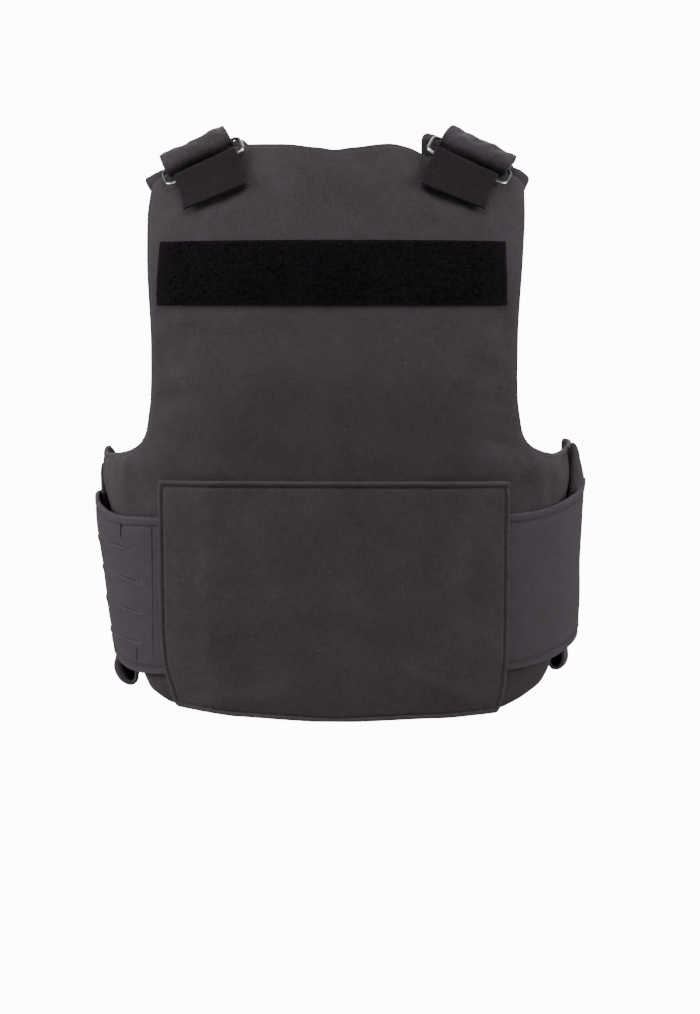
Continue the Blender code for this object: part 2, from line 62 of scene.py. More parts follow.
# The camera stands where the photograph was taken, a little to one side of the middle of the back.
VIEW_ANGLE, VIEW_RISE, VIEW_DISTANCE = math.radians(2.5), math.radians(3.0), 2820.0
VIEW_CENTRE = (9.3, 0.0, -285.6)
LENS, SENSOR = 119.8, 36.0

# Inner form, which every layer of cloth is an offset of.
YOKE_Z, YOKE_REACH = -120.0, 120.0
CREST_X, SHOULDER_SLOPE, NECK_ROUND = 110.0, 0.488, 20.0
SECTION_POWER = 2.5
LEVEL_STEP, LONGEST_HALF = 10.0, 640
# columns: height, half width on the left, half width on the right, half depth
TRUNK = (
    (-460.0, 160.0, 170.0, 98.0),
    (-421.0, 166.0, 176.0, 100.0),
    (-397.0, 170.4, 179.0, 101.0),
    (-363.0, 175.4, 180.6, 103.0),
    (-330.0, 179.0, 182.3, 104.5),
    (-296.0, 184.5, 184.8, 105.0),
    (-270.0, 185.0, 186.5, 105.5),
    (-240.0, 183.0, 189.5, 106.0),
    (-180.0, 184.0, 189.0, 106.0),
    (-120.0, 184.0, 186.0, 102.0),
)

PANEL_THICK, SHOULDER_THICK, WING_THICK = 14.0, 9.0, 5.0
FRONT_WING_THICK, FRONT_WING_OUT = 7.3, 6.6
SHOULDER_BLEND, BACK_WING_BLEND, FRONT_WING_BLEND = (15.0, 80.0), (168.0, 215.0), (160.0, 190.0)
RIM_THICK, RIM_ROUND, RIM_LIFT = 2.2, 11.0, 0.3
TOPSTITCH_IN = 5.0
BAND_OUT, BAND_THICK, BAND_START, BAND_END = 14.9, 3.2, 100.0, 62.0
FLAP_OUT, FLAP_THICK = 14.4, 2.0
STRAP_X, STRAP_LEAN, STRAP_SKEW = 113.0, 0.25, 0.0011
STRAP_HALF_WIDTH, TAB_HALF_WIDTH, STRAP_THICK = 28.0, 25.5, 4.0
RING_WIRE, RING_TOP, RING_FOOT = 2.6, 47.0, 69.0
RING_HALF_WIDTH, RING_CORNER, RING_LIFT, RING_TILT = 32.3, 5.0, 5.7, 0.09


def blend(value, start, end):
    """0 up to start, 1 from end on, and smooth between them."""
    part = np.clip((value - start) / (end - start), 0.0, 1.0)
    return part * part * (3.0 - 2.0 * part)


def bell(value, middle, width):
    """1 at the middle, falling smoothly to nothing on both sides."""
    return np.exp(-((value - middle) / width) ** 2)


# The form

def half_section(height, side):
    """Half outline of the trunk at one height, from the middle of the back to the front, 1 mm apart."""
    heights, left, right, thread_valley_shade = np.array(TRUNK).T
    wide = np.interp(height, heights, left if side < 0 else right)
    deep = np.interp(height, heights, thread_valley_shade)
    turn = np.linspace(0.0, np.pi, 1801)
    x = wide * np.abs(np.sin(turn)) ** (2 / SECTION_POWER)
    y = -deep * np.sign(np.cos(turn)) * np.abs(np.cos(turn)) ** (2 / SECTION_POWER)
    walked = np.concatenate(([0.0], np.cumsum(np.hypot(np.diff(x), np.diff(y)))))
    steps = np.arange(float(LONGEST_HALF))
    return np.stack((np.interp(steps, walked, x), np.interp(steps, walked, y)), axis=1), walked[-1]


LEVELS = np.arange(TRUNK[0][0], YOKE_Z + 1.0, LEVEL_STEP)
SECTIONS = np.array([[half_section(level, side)[0] for level in LEVELS] for side in (-1, 1)])


def trunk(around, height):
    """(x, y) of the inner form, around mm from the middle of the back."""
    side = (around >= 0.0).astype(int)
    row = np.clip((height - LEVELS[0]) / LEVEL_STEP, 0.0, len(LEVELS) - 1.001)
    column = np.minimum(np.abs(around), LONGEST_HALF - 2.0)
    i, j = row.astype(int), column.astype(int)
    up, on = (row - i)[:, None], (column - j)[:, None]
    low = SECTIONS[side, i, j] * (1 - on) + SECTIONS[side, i, j + 1] * on
    high = SECTIONS[side, i + 1, j] * (1 - on) + SECTIONS[side, i + 1, j + 1] * on
    x, y = (low + (high - low) * up).T
    return np.where(side == 1, x, -x), y


def inner_form(around, along):
    """Points of the inner form. Along is 0 at YOKE_Z, falls down the trunk and rises over the shoulder."""
    x, y = trunk(around, YOKE_Z + np.minimum(along, 0.0))
    turn = np.maximum(along, 0.0) / YOKE_REACH
    crest = SHOULDER_SLOPE * (np.hypot(CREST_X, NECK_ROUND) - np.hypot(x, NECK_ROUND))
    height = YOKE_Z + np.minimum(along, 0.0) + (crest - YOKE_Z) * np.sin(turn)
    return np.stack((x, y * np.cos(turn), height), axis=1)


def on_form(around, along, out, front=False):
    """Points out mm off the inner form. The front is the same form, turned over in Y."""
    around, along, out = (np.asarray(value, float) for value in np.broadcast_arrays(around, along, out))
    shape = around.shape
    around, along, out = around.ravel(), along.ravel(), out.ravel()
    across = inner_form(around + 1.0, along) - inner_form(around - 1.0, along)
    up = inner_form(around, along + 1.0) - inner_form(around, along - 1.0)
    normal = np.cross(across, up)
    normal /= np.linalg.norm(normal, axis=1)[:, None]
    points = inner_form(around, along) + out[:, None] * normal
    if front:
        points[:, 1] *= -1.0
    return points.reshape(*shape, 3)


def seen(rows, out=5.0):
    """(around, along) of points out mm off the form that show at each (x, height) from behind."""
    x, height = np.array(rows, float).T
    around, along = x.copy(), height - YOKE_Z
    for _ in range(40):
        point = on_form(around, along, out)
        around += 0.7 * (x - point[:, 0])
        along += 0.7 * (height - point[:, 2])
    return np.stack((around, along), axis=1)


def side_middle(along, side):
    """Distance round to the widest point of the side."""
    return side * 0.5 * half_section(YOKE_Z + min(along, 0.0), side)[1]


def over_shoulder(side):
    """Placing function for a strap: across it, behind the crest along the cloth, up from the carrier."""
    def place(across, behind, height):
        lean = STRAP_LEAN * (np.hypot(behind, 25.0) - 25.0)
        along = YOKE_REACH * np.pi / 2 - behind - STRAP_SKEW * behind * across
        return on_form(side * (STRAP_X - lean + across), along, SHOULDER_THICK + 0.4 + height)

    return place


# Flat cut pieces

def divided(outline, step):
    """The closed outline with no side longer than step."""
    found = []
    for start, end in zip(outline, np.roll(outline, -1, axis=0)):
        count = max(1, int(np.ceil(np.linalg.norm(end - start) / step)))
        found += [start + (end - start) * k / count for k in range(count)]
    return np.array(found)


def softened(outline, times=2):
    """The closed outline with its corners cut, which rounds them."""
    for _ in range(times):
        ahead = np.roll(outline, -1, axis=0)
        outline = np.stack((0.75 * outline + 0.25 * ahead, 0.25 * outline + 0.75 * ahead), axis=1)
        outline = outline.reshape(-1, 2)
    return outline


def inside(points, outline):
    """True for each point within the closed outline."""
    found = np.zeros(len(points), bool)
    for start, end in zip(outline, np.roll(outline, -1, axis=0)):
        spans = (start[1] > points[:, 1]) != (end[1] > points[:, 1])
        if spans.any():
            x = start[0] + (points[:, 1] - start[1]) * (end[0] - start[0]) / (end[1] - start[1])
            found ^= spans & (points[:, 0] < x)
    return found


def edge_distance(points, outline):
    """Distance from each point to the outline."""
    best = np.full(len(points), np.inf)
    for start, end in zip(outline, np.roll(outline, -1, axis=0)):
        side = end - start
        part = np.clip((points - start) @ side / (side @ side), 0.0, 1.0)
        best = np.minimum(best, np.linalg.norm(points - start - part[:, None] * side, axis=1))
    return best


def enclosed(edge):
    """Area within the closed outline, negative where it runs clockwise."""
    return 0.5 * np.sum(edge[:, 0] * np.roll(edge[:, 1], -1) - np.roll(edge[:, 0], -1) * edge[:, 1])


def shifted(edge, inset):
    """The outline with each point moved inwards."""
    ahead = np.roll(edge, -1, axis=0) - np.roll(edge, 1, axis=0)
    inward = np.stack((-ahead[:, 1], ahead[:, 0]), axis=1) / np.linalg.norm(ahead, axis=1)[:, None]
    return edge + inward * (np.sign(enclosed(edge)) * inset)


def moved_in(edge, inset):
    """The outline moved inwards, without the points that its corners crowd together."""
    ring = shifted(edge, inset)
    return ring[inside(ring, edge) & (edge_distance(ring, edge) > 0.95 * inset)]


def cut_piece(outline, step, insets, slits=(), lips=()):
    """A flat piece of cloth: its points, its triangles and each point's distance from the edge."""
    edge = divided(outline, step)
    rings = [moved_in(edge, inset) for inset in insets]
    low, high = edge.min(axis=0), edge.max(axis=0)
    columns, rows = np.arange(low[0], high[0], step), np.arange(low[1], high[1], step)
    grid = np.stack(np.meshgrid(columns, rows), axis=-1).reshape(-1, 2)
    grid = grid[inside(grid, edge)]
    grid = grid[edge_distance(grid, edge) > (insets[-1] if insets else 0.0) + 0.5 * step]
    for slit in slits:
        grid = grid[edge_distance(grid, slit) > 0.45 * step]
        grid = grid[~inside(grid, slit)]
    flat = np.concatenate((edge, *rings, grid, *lips, *slits))
    borders = [(k, (k + 1) % len(edge)) for k in range(len(edge))]
    first = len(flat) - sum(len(slit) for slit in slits)
    for slit in slits:
        borders += [(first + k, first + (k + 1) % len(slit)) for k in range(len(slit))]
        first += len(slit)
    result = delaunay_2d_cdt([Vector(point) for point in flat], borders, [], 1, 1e-6)
    flat = np.array([(point.x, point.y) for point in result[0]])
    faces = np.array([tuple(face) for face in result[2]])
    middles = flat[faces].mean(axis=1)
    for slit in slits:
        keep = ~inside(middles, slit)
        faces, middles = faces[keep], middles[keep]
    # Slit edges count as edges, so the lighter edge tint also paints a highlight along each slit.
    distance = edge_distance(flat, edge)
    for slit in slits:
        distance = np.minimum(distance, edge_distance(flat, slit))
    return flat, faces, distance


def outer_edges(faces):
    """Directed edges that only one triangle has."""
    directed = {(a, b) for face in faces.tolist() for a, b in zip(face, face[1:] + face[:1])}
    return [(a, b) for a, b in directed if (b, a) not in directed]


def mesh_object(name, points, faces, surface, cloth_at=None, inset=None):
    """One mesh object.

    Cloth_at gives each point's place on the flat cloth, and inset its distance from the edge.
    """
    mesh = bpy.data.meshes.new(name)
    mesh.from_pydata((np.asarray(points) * METRES).tolist(), [], faces)
    shape = bmesh.new()
    shape.from_mesh(mesh)
    bmesh.ops.recalc_face_normals(shape, faces=shape.faces)
    shape.to_mesh(mesh)
    shape.free()
    if cloth_at is not None:
        corners = np.zeros(len(mesh.loops), np.int32)
        mesh.loops.foreach_get("vertex_index", corners)
        layer = mesh.uv_layers.new(name="cloth")
        layer.data.foreach_set("uv", (np.asarray(cloth_at)[corners] * METRES).astype(np.float32).ravel())
    if inset is not None:
        kept = mesh.attributes.new("inset", "FLOAT", "POINT")
        kept.data.foreach_set("value", np.asarray(inset, np.float32))
    mesh.shade_smooth()
    mesh.materials.append(surface)
    made = bpy.data.objects.new(name, mesh)
    bpy.context.scene.collection.objects.link(made)
    return made


def smoothed(piece, levels=1):
    """Subdivision, the same in the view and the render."""
    rounds = piece.modifiers.new("rounding", "SUBSURF")
    rounds.levels = rounds.render_levels = levels
    rounds.boundary_smooth = "PRESERVE_CORNERS"
    return piece


def layer(name, cut, cover, surface, front=False, rounding=0.0, relief=None):
    """A closed layer of cloth wrapped round the form. Cover gives its (distance out, thickness)."""
    flat, faces, inset = cut
    near, far = layer_skins(flat, inset, cover, front, rounding, relief)
    count = len(flat)
    skins = (faces + count).tolist() + faces[:, ::-1].tolist()
    rim = [(b, a, a + count, b + count) for a, b in outer_edges(faces)]
    return mesh_object(name, np.concatenate((near, far)), skins + rim, surface,
                       np.concatenate((flat + RIM_THICK, flat)), np.concatenate((inset, inset)))


def layer_skins(flat, inset, cover, front, rounding, relief):
    """Inner and outer skin of a layer, at points of its flat cloth."""
    around, along = flat.T
    out, thick = cover(around, along)
    if rounding > 0.0:
        swell = np.sqrt(np.maximum(0.0, 1.0 - (1.0 - np.minimum(inset / rounding, 1.0)) ** 2))
        full, thick = thick, RIM_THICK + (thick - RIM_THICK) * swell
        out = out + RIM_LIFT * (full - thick)
    lift = relief(around, along, inset) if relief else 0.0
    return on_form(around, along, out, front), on_form(around, along, out + thick + lift, front)


def ripple(around, along, size):
    """Soft, uneven waves from -1 to 1, the same each time. Size is about a wave's length."""
    points = np.stack((np.ravel(around), np.ravel(along)), axis=1) / size
    return np.array([noise.noise((u, v, 0.37)) for u, v in points]).reshape(np.shape(around))


# Repeats, made by Geometry Nodes

def tree_links(tree, chain):
    """Links each (from socket, to socket) pair of the chain."""
    for start, end in chain:
        tree.links.new(start, end)


def new_nodes(tree, *kinds):
    return [tree.nodes.new(kind) for kind in kinds]


def passed(tree, value, *nodes):
    """Sends an output through the nodes, by each one's first input and first output."""
    for node in nodes:
        tree.links.new(value, node.inputs[0])
        value = node.outputs[0]
    return value


def nodes_tree(name, inputs):
    """A Geometry Nodes tree with a geometry input, the named inputs and a geometry output."""
    tree = bpy.data.node_groups.new(name, "GeometryNodeTree")
    tree.interface.new_socket("Geometry", in_out="INPUT", socket_type="NodeSocketGeometry")
    for label, kind in inputs:
        tree.interface.new_socket(label, in_out="INPUT", socket_type=kind)
    tree.interface.new_socket("Geometry", in_out="OUTPUT", socket_type="NodeSocketGeometry")
    return tree, tree.nodes.new("NodeGroupInput").outputs, tree.nodes.new("NodeGroupOutput").inputs


def stitch_tree():
    """Sinks a small lens-shaped stitch at even steps along each line."""
    tree, given, result = nodes_tree("stitch_rows", (
        ("Pitch", "NodeSocketFloat"), ("Length", "NodeSocketFloat"), ("Thread", "NodeSocketFloat"),
        ("Material", "NodeSocketMaterial")))
    curve, spaced, placed, real, smooth, painted = new_nodes(
        tree, "GeometryNodeMeshToCurve", "GeometryNodeResampleCurve", "GeometryNodeInstanceOnPoints",
        "GeometryNodeRealizeInstances", "GeometryNodeSetShadeSmooth", "GeometryNodeSetMaterial")
    ball, shaped, size, along, turned = new_nodes(
        tree, "GeometryNodeMeshUVSphere", "GeometryNodeTransform", "ShaderNodeCombineXYZ",
        "GeometryNodeInputTangent", "FunctionNodeAlignRotationToVector")
    spaced.mode, turned.axis = "LENGTH", "Z"
    ball.inputs["Segments"].default_value, ball.inputs["Rings"].default_value = 6, 4
    ball.inputs["Radius"].default_value = 0.5
    lens = passed(tree, ball.outputs["Mesh"], shaped)
    grown_rows = passed(tree, given["Geometry"], curve, spaced, placed, real, smooth, painted)
    tree_links(tree, (
        (given["Pitch"], spaced.inputs["Length"]), (given["Length"], size.inputs["Z"]),
        (given["Thread"], size.inputs["X"]), (given["Thread"], size.inputs["Y"]),
        (size.outputs["Vector"], shaped.inputs["Scale"]), (lens, placed.inputs["Instance"]),
        (along.outputs["Tangent"], turned.inputs["Vector"]),
        (turned.outputs["Rotation"], placed.inputs["Rotation"]),
        (given["Material"], painted.inputs["Material"]), (grown_rows, result["Geometry"])))
    return tree


def pile_tree():
    """Covers a face with small standing loops of thread, leaning at random."""
    tree, given, result = nodes_tree("loop_pile", (
        ("Density", "NodeSocketFloat"), ("Height", "NodeSocketFloat"), ("Thread", "NodeSocketFloat"),
        ("Seed", "NodeSocketInt"), ("Material", "NodeSocketMaterial")))
    cover, many, scatter, placed, real, painted = new_nodes(
        tree, "GeometryNodeInputNamedAttribute", "ShaderNodeMath", "GeometryNodeDistributePointsOnFaces",
        "GeometryNodeInstanceOnPoints", "GeometryNodeRealizeInstances", "GeometryNodeSetMaterial")
    arch, thread, tube, upright = new_nodes(
        tree, "GeometryNodeCurveArc", "GeometryNodeCurvePrimitiveCircle", "GeometryNodeCurveToMesh",
        "GeometryNodeTransform")
    lean, size, as_turn, turned = new_nodes(
        tree, "FunctionNodeRandomValue", "FunctionNodeRandomValue", "FunctionNodeEulerToRotation",
        "FunctionNodeRotateRotation")
    cover.data_type, cover.inputs["Name"].default_value = "FLOAT", "pile"
    many.operation, turned.rotation_space = "MULTIPLY", "LOCAL"
    arch.inputs["Resolution"].default_value, thread.inputs["Resolution"].default_value = 6, 3
    arch.inputs["Start Angle"].default_value = math.radians(-35)
    arch.inputs["Sweep Angle"].default_value = math.radians(250)
    upright.inputs["Rotation"].default_value = (math.pi / 2, 0.0, 0.0)
    lean.data_type, size.data_type = "FLOAT_VECTOR", "FLOAT"
    lean.inputs["Min"].default_value = (-0.6, -0.6, 0.0)
    lean.inputs["Max"].default_value = (0.6, 0.6, 6.283)
    size.inputs[2].default_value, size.inputs[3].default_value = 0.7, 1.25
    loop = passed(tree, arch.outputs["Curve"], tube, upright)
    pile = passed(tree, given["Geometry"], scatter, placed, real, painted)
    tree_links(tree, (
        (given["Density"], many.inputs[0]), (cover.outputs["Attribute"], many.inputs[1]),
        (many.outputs["Value"], scatter.inputs["Density"]), (given["Seed"], scatter.inputs["Seed"]),
        (given["Height"], arch.inputs["Radius"]), (given["Thread"], thread.inputs["Radius"]),
        (thread.outputs["Curve"], tube.inputs["Profile Curve"]), (loop, placed.inputs["Instance"]),
        (scatter.outputs["Rotation"], turned.inputs["Rotation"]),
        (lean.outputs["Value"], as_turn.inputs["Euler"]),
        (as_turn.outputs["Rotation"], turned.inputs["Rotate By"]),
        (turned.outputs["Rotation"], placed.inputs["Rotation"]), (size.outputs[1], placed.inputs["Scale"]),
        (given["Material"], painted.inputs["Material"]), (pile, result["Geometry"])))
    return tree


def grown(name, base, tree, **sizes):
    """The mesh that a tree makes on a base object, as a plain object. The base is removed."""
    modifier = base.modifiers.new("grown", "NODES")
    modifier.node_group = tree
    for item in tree.interface.items_tree:
        if item.in_out == "INPUT" and item.name in sizes:
            modifier[item.identifier] = sizes[item.name]
    bpy.context.view_layer.update()
    graph = bpy.context.evaluated_depsgraph_get()
    mesh = bpy.data.meshes.new_from_object(
        base.evaluated_get(graph), preserve_all_data_layers=True, depsgraph=graph)
    base.modifiers.remove(modifier)
    bpy.data.objects.remove(base)
    mesh.name = name
    made = bpy.data.objects.new(name, mesh)
    bpy.context.scene.collection.objects.link(made)
    return made


def stitched(name, lines, thread, pitch=3.4, length=2.7, thick=0.55):
    """Rows of stitches. Lines holds (points, closed)."""
    points, edges = [], []
    for line, closed in lines:
        first, count = len(points), len(line)
        points += (np.asarray(line) * METRES).tolist()
        edges += [(first + k, first + k + 1) for k in range(count - 1)]
        if closed:
            edges.append((first + count - 1, first))
    mesh = bpy.data.meshes.new(name + "_lines")
    mesh.from_pydata(points, edges, [])
    base = bpy.data.objects.new(name + "_lines", mesh)
    bpy.context.scene.collection.objects.link(base)
    return grown(name, base, STITCHES, Pitch=pitch * METRES, Length=length * METRES, Thread=thick * METRES,
                 Material=thread)


# Materials

def feed(tree, socket, value):
    """Links an output to the socket, or sets its value."""
    if isinstance(value, bpy.types.NodeSocket):
        tree.links.new(value, socket)
    else:
        socket.default_value = value


def maths(tree, operation, *values):
    node = tree.nodes.new("ShaderNodeMath")
    node.operation = operation
    for socket, value in zip(node.inputs, values):
        feed(tree, socket, value)
    return node.outputs["Value"]


def spread(tree, value, low, high, start=0.0, end=1.0):
    """The value moved from the range low to high into start to end, and held there."""
    node = tree.nodes.new("ShaderNodeMapRange")
    labels = ("Value", "From Min", "From Max", "To Min", "To Max")
    for label, given in zip(labels, (value, low, high, start, end)):
        feed(tree, node.inputs[label], given)
    return node.outputs["Result"]


def stretched(tree, place, scale):
    node = tree.nodes.new("ShaderNodeVectorMath")
    node.operation = "MULTIPLY"
    feed(tree, node.inputs[0], place)
    feed(tree, node.inputs[1], scale)
    return node.outputs["Vector"]


def grain(tree, place, scale, detail=2.0, rough=0.5):
    """Noise of about 1 / scale metres."""
    node = tree.nodes.new("ShaderNodeTexNoise")
    feed(tree, node.inputs["Vector"], place)
    for label, value in (("Scale", scale), ("Detail", detail), ("Roughness", rough)):
        feed(tree, node.inputs[label], value)
    return node.outputs["Fac"]


def shader_group(name, inputs, outputs):
    """A shader node group with named sockets: its tree, its inputs' outputs and its outputs' inputs."""
    tree = bpy.data.node_groups.new(name, "ShaderNodeTree")
    for label, kind, value in inputs:
        socket = tree.interface.new_socket(label, in_out="INPUT", socket_type=kind)
        if value is not None:
            socket.default_value = value
    for label in outputs:
        tree.interface.new_socket(label, in_out="OUTPUT", socket_type="NodeSocketFloat")
    return tree, tree.nodes.new("NodeGroupInput").outputs, tree.nodes.new("NodeGroupOutput").inputs


def weave_group():
    """Plain weave. Height is the threads' relief, and Shade their uneven tone, thread by thread."""
    tree, given, result = shader_group(
        "plain_weave",
        (("Place", "NodeSocketVector", None), ("Threads", "NodeSocketFloat", 1800.0)), ("Height", "Shade"))
    scaled = tree.nodes.new("ShaderNodeVectorMath")
    scaled.operation = "SCALE"
    half_turns = maths(tree, "MULTIPLY", given["Threads"], math.pi)
    tree_links(tree, ((given["Place"], scaled.inputs[0]), (half_turns, scaled.inputs["Scale"])))
    parts = tree.nodes.new("ShaderNodeSeparateXYZ")
    tree.links.new(scaled.outputs["Vector"], parts.inputs["Vector"])
    warp, weft = maths(tree, "SINE", parts.outputs["X"]), maths(tree, "SINE", parts.outputs["Y"])
    over = maths(tree, "MULTIPLY_ADD", maths(tree, "MULTIPLY", warp, weft), 0.5, 0.5)
    under = maths(tree, "SUBTRACT", 1.0, over)
    raised = maths(tree, "MULTIPLY", maths(tree, "ABSOLUTE", warp), over)
    crossed = maths(tree, "MULTIPLY", maths(tree, "ABSOLUTE", weft), under)
    feed(tree, result["Height"], maths(tree, "MAXIMUM", raised, crossed))
    upright = grain(tree, stretched(tree, given["Place"], (800.0, 120.0, 1.0)), 1.0, 1.0)
    level = grain(tree, stretched(tree, given["Place"], (120.0, 800.0, 1.0)), 1.0, 1.0)
    feed(tree, result["Shade"], maths(tree, "MULTIPLY", maths(tree, "ADD", upright, level), 0.5))
    return tree


def handling_group():
    """What use leaves on cloth, with one painted highlight: Mottle is cloudy tone, Lint is pale fibres, and
    Wear_and_slit_highlight is rubbed edges, which along the band's slits stands for the light caught by the
    cut edges.
    """
    tree, given, result = shader_group(
        "handling",
        (("Place", "NodeSocketVector", None), ("Inset", "NodeSocketFloat", 20.0)),
        ("Mottle", "Lint", "Wear_and_slit_highlight"))
    feed(tree, result["Mottle"], grain(tree, given["Place"], 24.0, 4.0, 0.6))
    specks = tree.nodes.new("ShaderNodeTexVoronoi")
    feed(tree, specks.inputs["Vector"], given["Place"])
    feed(tree, specks.inputs["Scale"], 90.0)
    near = spread(tree, specks.outputs["Distance"], 0.02, 0.07, 1.0, 0.0)
    chosen = maths(tree, "GREATER_THAN", grain(tree, given["Place"], 31.0, 1.0), 0.66)
    feed(tree, result["Lint"], maths(tree, "MULTIPLY", near, chosen))
    # Lighter tint near every edge: rubbed wear on the rims, and a painted highlight along the band's slits.
    rubbed_and_slit_lit = spread(tree, given["Inset"], 0.4, 2.6, 1.0, 0.0)
    feed(tree, result["Wear_and_slit_highlight"], maths(tree, "MULTIPLY", rubbed_and_slit_lit, grain(tree, given["Place"], 120.0, 3.0)))
    return tree


def group_node(tree, group, **values):
    node = tree.nodes.new("ShaderNodeGroup")
    node.node_tree = group
    for label, value in values.items():
        feed(tree, node.inputs[label], value)
    return node.outputs


def mixed(tree, part, first, second, kind="MIX"):
    node = tree.nodes.new("ShaderNodeMix")
    node.data_type, node.blend_type = "RGBA", kind
    feed(tree, node.inputs["Factor"], part)
    feed(tree, node.inputs[6], first)
    feed(tree, node.inputs[7], second)
    return node.outputs[2]


def bumped(tree, height, distance, strength=1.0):
    node = tree.nodes.new("ShaderNodeBump")
    feed(tree, node.inputs["Height"], height)
    node.inputs["Distance"].default_value, node.inputs["Strength"].default_value = distance, strength
    return node.outputs["Normal"]


def new_material(name, **values):
    """A material, its tree and its Principled shader, with constant values set on the shader itself."""
    made = bpy.data.materials.new(name)
    made.use_nodes = True
    shader = made.node_tree.nodes["Principled BSDF"]
    for label, value in values.items():
        shader.inputs[label.replace("_", " ")].default_value = value
    return made, made.node_tree, shader.inputs


def attribute(tree, name):
    node = tree.nodes.new("ShaderNodeAttribute")
    node.attribute_name = name
    return node.outputs["Fac"]


def uv_place(tree):
    node = tree.nodes.new("ShaderNodeUVMap")
    node.uv_map = "cloth"
    return node.outputs["UV"]


def object_place(tree):
    return tree.nodes.new("ShaderNodeTexCoord").outputs["Object"]


GREENISH = (0.98, 1.09, 0.9)  # the cast of the dim patches
# The edge tint's lift is rubbed wear, and a painted highlight at the band's slits.
LINT_TONE, WORN_AND_SLIT_HIGHLIGHT_LIFT = (0.3, 0.3, 0.3, 1.0), 2.2
WEAVE_PART, MOTTLE_PART = 0.6, 0.4  # what each adds to the uneven tone
THREAD_RELIEF = 0.00022  # metres


def tone(colour, share):
    return (*(share * part for part in colour), 1.0)


def woven(name, colour, threads, roughness=0.82, contrast=0.3, sheen=0.06, shine=0.35):
    """Woven cloth: threads a metre, and contrast is how uneven its tone is."""
    made, tree, shader = new_material(
        name, Sheen_Weight=sheen, Sheen_Roughness=0.45, Specular_IOR_Level=shine)
    weave = group_node(tree, WEAVE, Place=uv_place(tree), Threads=threads)
    use = group_node(tree, HANDLING, Place=object_place(tree), Inset=attribute(tree, "inset"))
    shade = maths(tree, "ADD", maths(tree, "MULTIPLY", weave["Shade"], WEAVE_PART),
                  maths(tree, "MULTIPLY", use["Mottle"], MOTTLE_PART))
    # Painted shade and light: the colour falls to three quarters in the weave's dips and rises a little
    # over full on the threads' crests.
    thread_valley_shade = maths(tree, "MULTIPLY_ADD", weave["Height"], 0.35, 0.75)
    dim = tuple(part * (1.0 - contrast) * share for part, share in zip(colour, GREENISH))
    plain = mixed(tree, spread(tree, shade, 0.3, 0.7), (*dim, 1.0), tone(colour, 1.0 + contrast))
    shaded = mixed(tree, 1.0, plain, thread_valley_shade, "MULTIPLY")
    # Lighter edges: rubbed wear, and a painted highlight along the slits' cut edges.
    worn_and_slit_lit = mixed(tree, maths(tree, "MULTIPLY", use["Wear_and_slit_highlight"], 0.5), shaded, tone(colour, WORN_AND_SLIT_HIGHLIGHT_LIFT))
    linted = mixed(tree, maths(tree, "MULTIPLY", use["Lint"], 0.2), worn_and_slit_lit, LINT_TONE)
    feed(tree, shader["Base Color"], linted)
    feed(tree, shader["Roughness"], spread(tree, shade, 0.2, 0.8, roughness + 0.1, roughness - 0.08))
    lifted = maths(tree, "ADD", weave["Height"], maths(tree, "MULTIPLY", use["Mottle"], 1.5))
    feed(tree, shader["Normal"], bumped(tree, lifted, THREAD_RELIEF, 0.7))
    return made


WEAVE, HANDLING = weave_group(), handling_group()
STITCHES, PILE = stitch_tree(), pile_tree()


# The cloths

carrier_cloth = woven("carrier_cloth", (0.031, 0.0228, 0.0298), 1700.0)
flap_cloth = woven("flap_cloth", (0.0336, 0.0256, 0.0306), 1700.0, contrast=0.36)
band_cloth = woven("band_cloth", (0.0372, 0.0272, 0.0376), 2200.0, 0.74, 0.18)
# A lighter copy of the cloth for the side folds: painted light, so their shaded hollows look lit.
fold_cloth_painted_light = woven("fold_cloth_painted_light", (0.052, 0.039, 0.052), 1700.0)
strap_cloth = woven("strap_cloth", (0.0262, 0.0196, 0.0262), 1900.0, 0.76, 0.5)
tab_cloth = woven("tab_cloth", (0.0118, 0.0085, 0.012), 1100.0, 0.88, 0.35, 0.03, 0.15)


def thread_material():
    """Bonded sewing thread, a little shinier than the cloth."""
    made, tree, shader = new_material("sewing_thread", Roughness=0.55, Specular_IOR_Level=0.4)
    shade = grain(tree, object_place(tree), 700.0, 1.0)
    feed(tree, shader["Base Color"],
         mixed(tree, shade, (0.005, 0.0045, 0.005, 1.0), (0.013, 0.012, 0.013, 1.0)))
    return made


def pile_material():
    """Near-black loop pile, with a few paler fibres that catch the light."""
    made, tree, shader = new_material("loop_pile", Specular_IOR_Level=0.02)
    shade = grain(tree, object_place(tree), 520.0, 2.0)
    pale = spread(tree, shade, 0.5, 0.66)
    feed(tree, shader["Base Color"],
         mixed(tree, pale, (0.0003, 0.0003, 0.0006, 1.0), (0.028, 0.0255, 0.032, 1.0)))
    feed(tree, shader["Roughness"], spread(tree, shade, 0.3, 0.8, 0.75, 0.45))
    return made


def ring_material():
    """Bright bent wire with fine scratches and a duller tone in patches, its colour set darker overall as
    painted shade for the shadow of the strap rolls it sits in.
    """
    made, tree, shader = new_material("ring_steel", Metallic=1.0)
    place = object_place(tree)
    scratch = grain(tree, stretched(tree, place, (60.0, 60.0, 1500.0)), 1.0, 3.0)
    dull = grain(tree, place, 90.0, 3.0)
    # Painted shade: both tones are kept dark for the shadow under the strap rolls; the patches are the
    # wire's duller tone.
    feed(tree, shader["Base Color"],
         mixed(tree, dull, (0.26, 0.26, 0.265, 1.0), (0.6, 0.6, 0.61, 1.0)))
    feed(tree, shader["Roughness"], spread(tree, dull, 0.3, 0.7, 0.14, 0.3))
    feed(tree, shader["Normal"], bumped(tree, scratch, 0.00004, 0.5))
    return made


sewing_thread, loop_pile, ring_steel = thread_material(), pile_material(), ring_material()

# The carriers

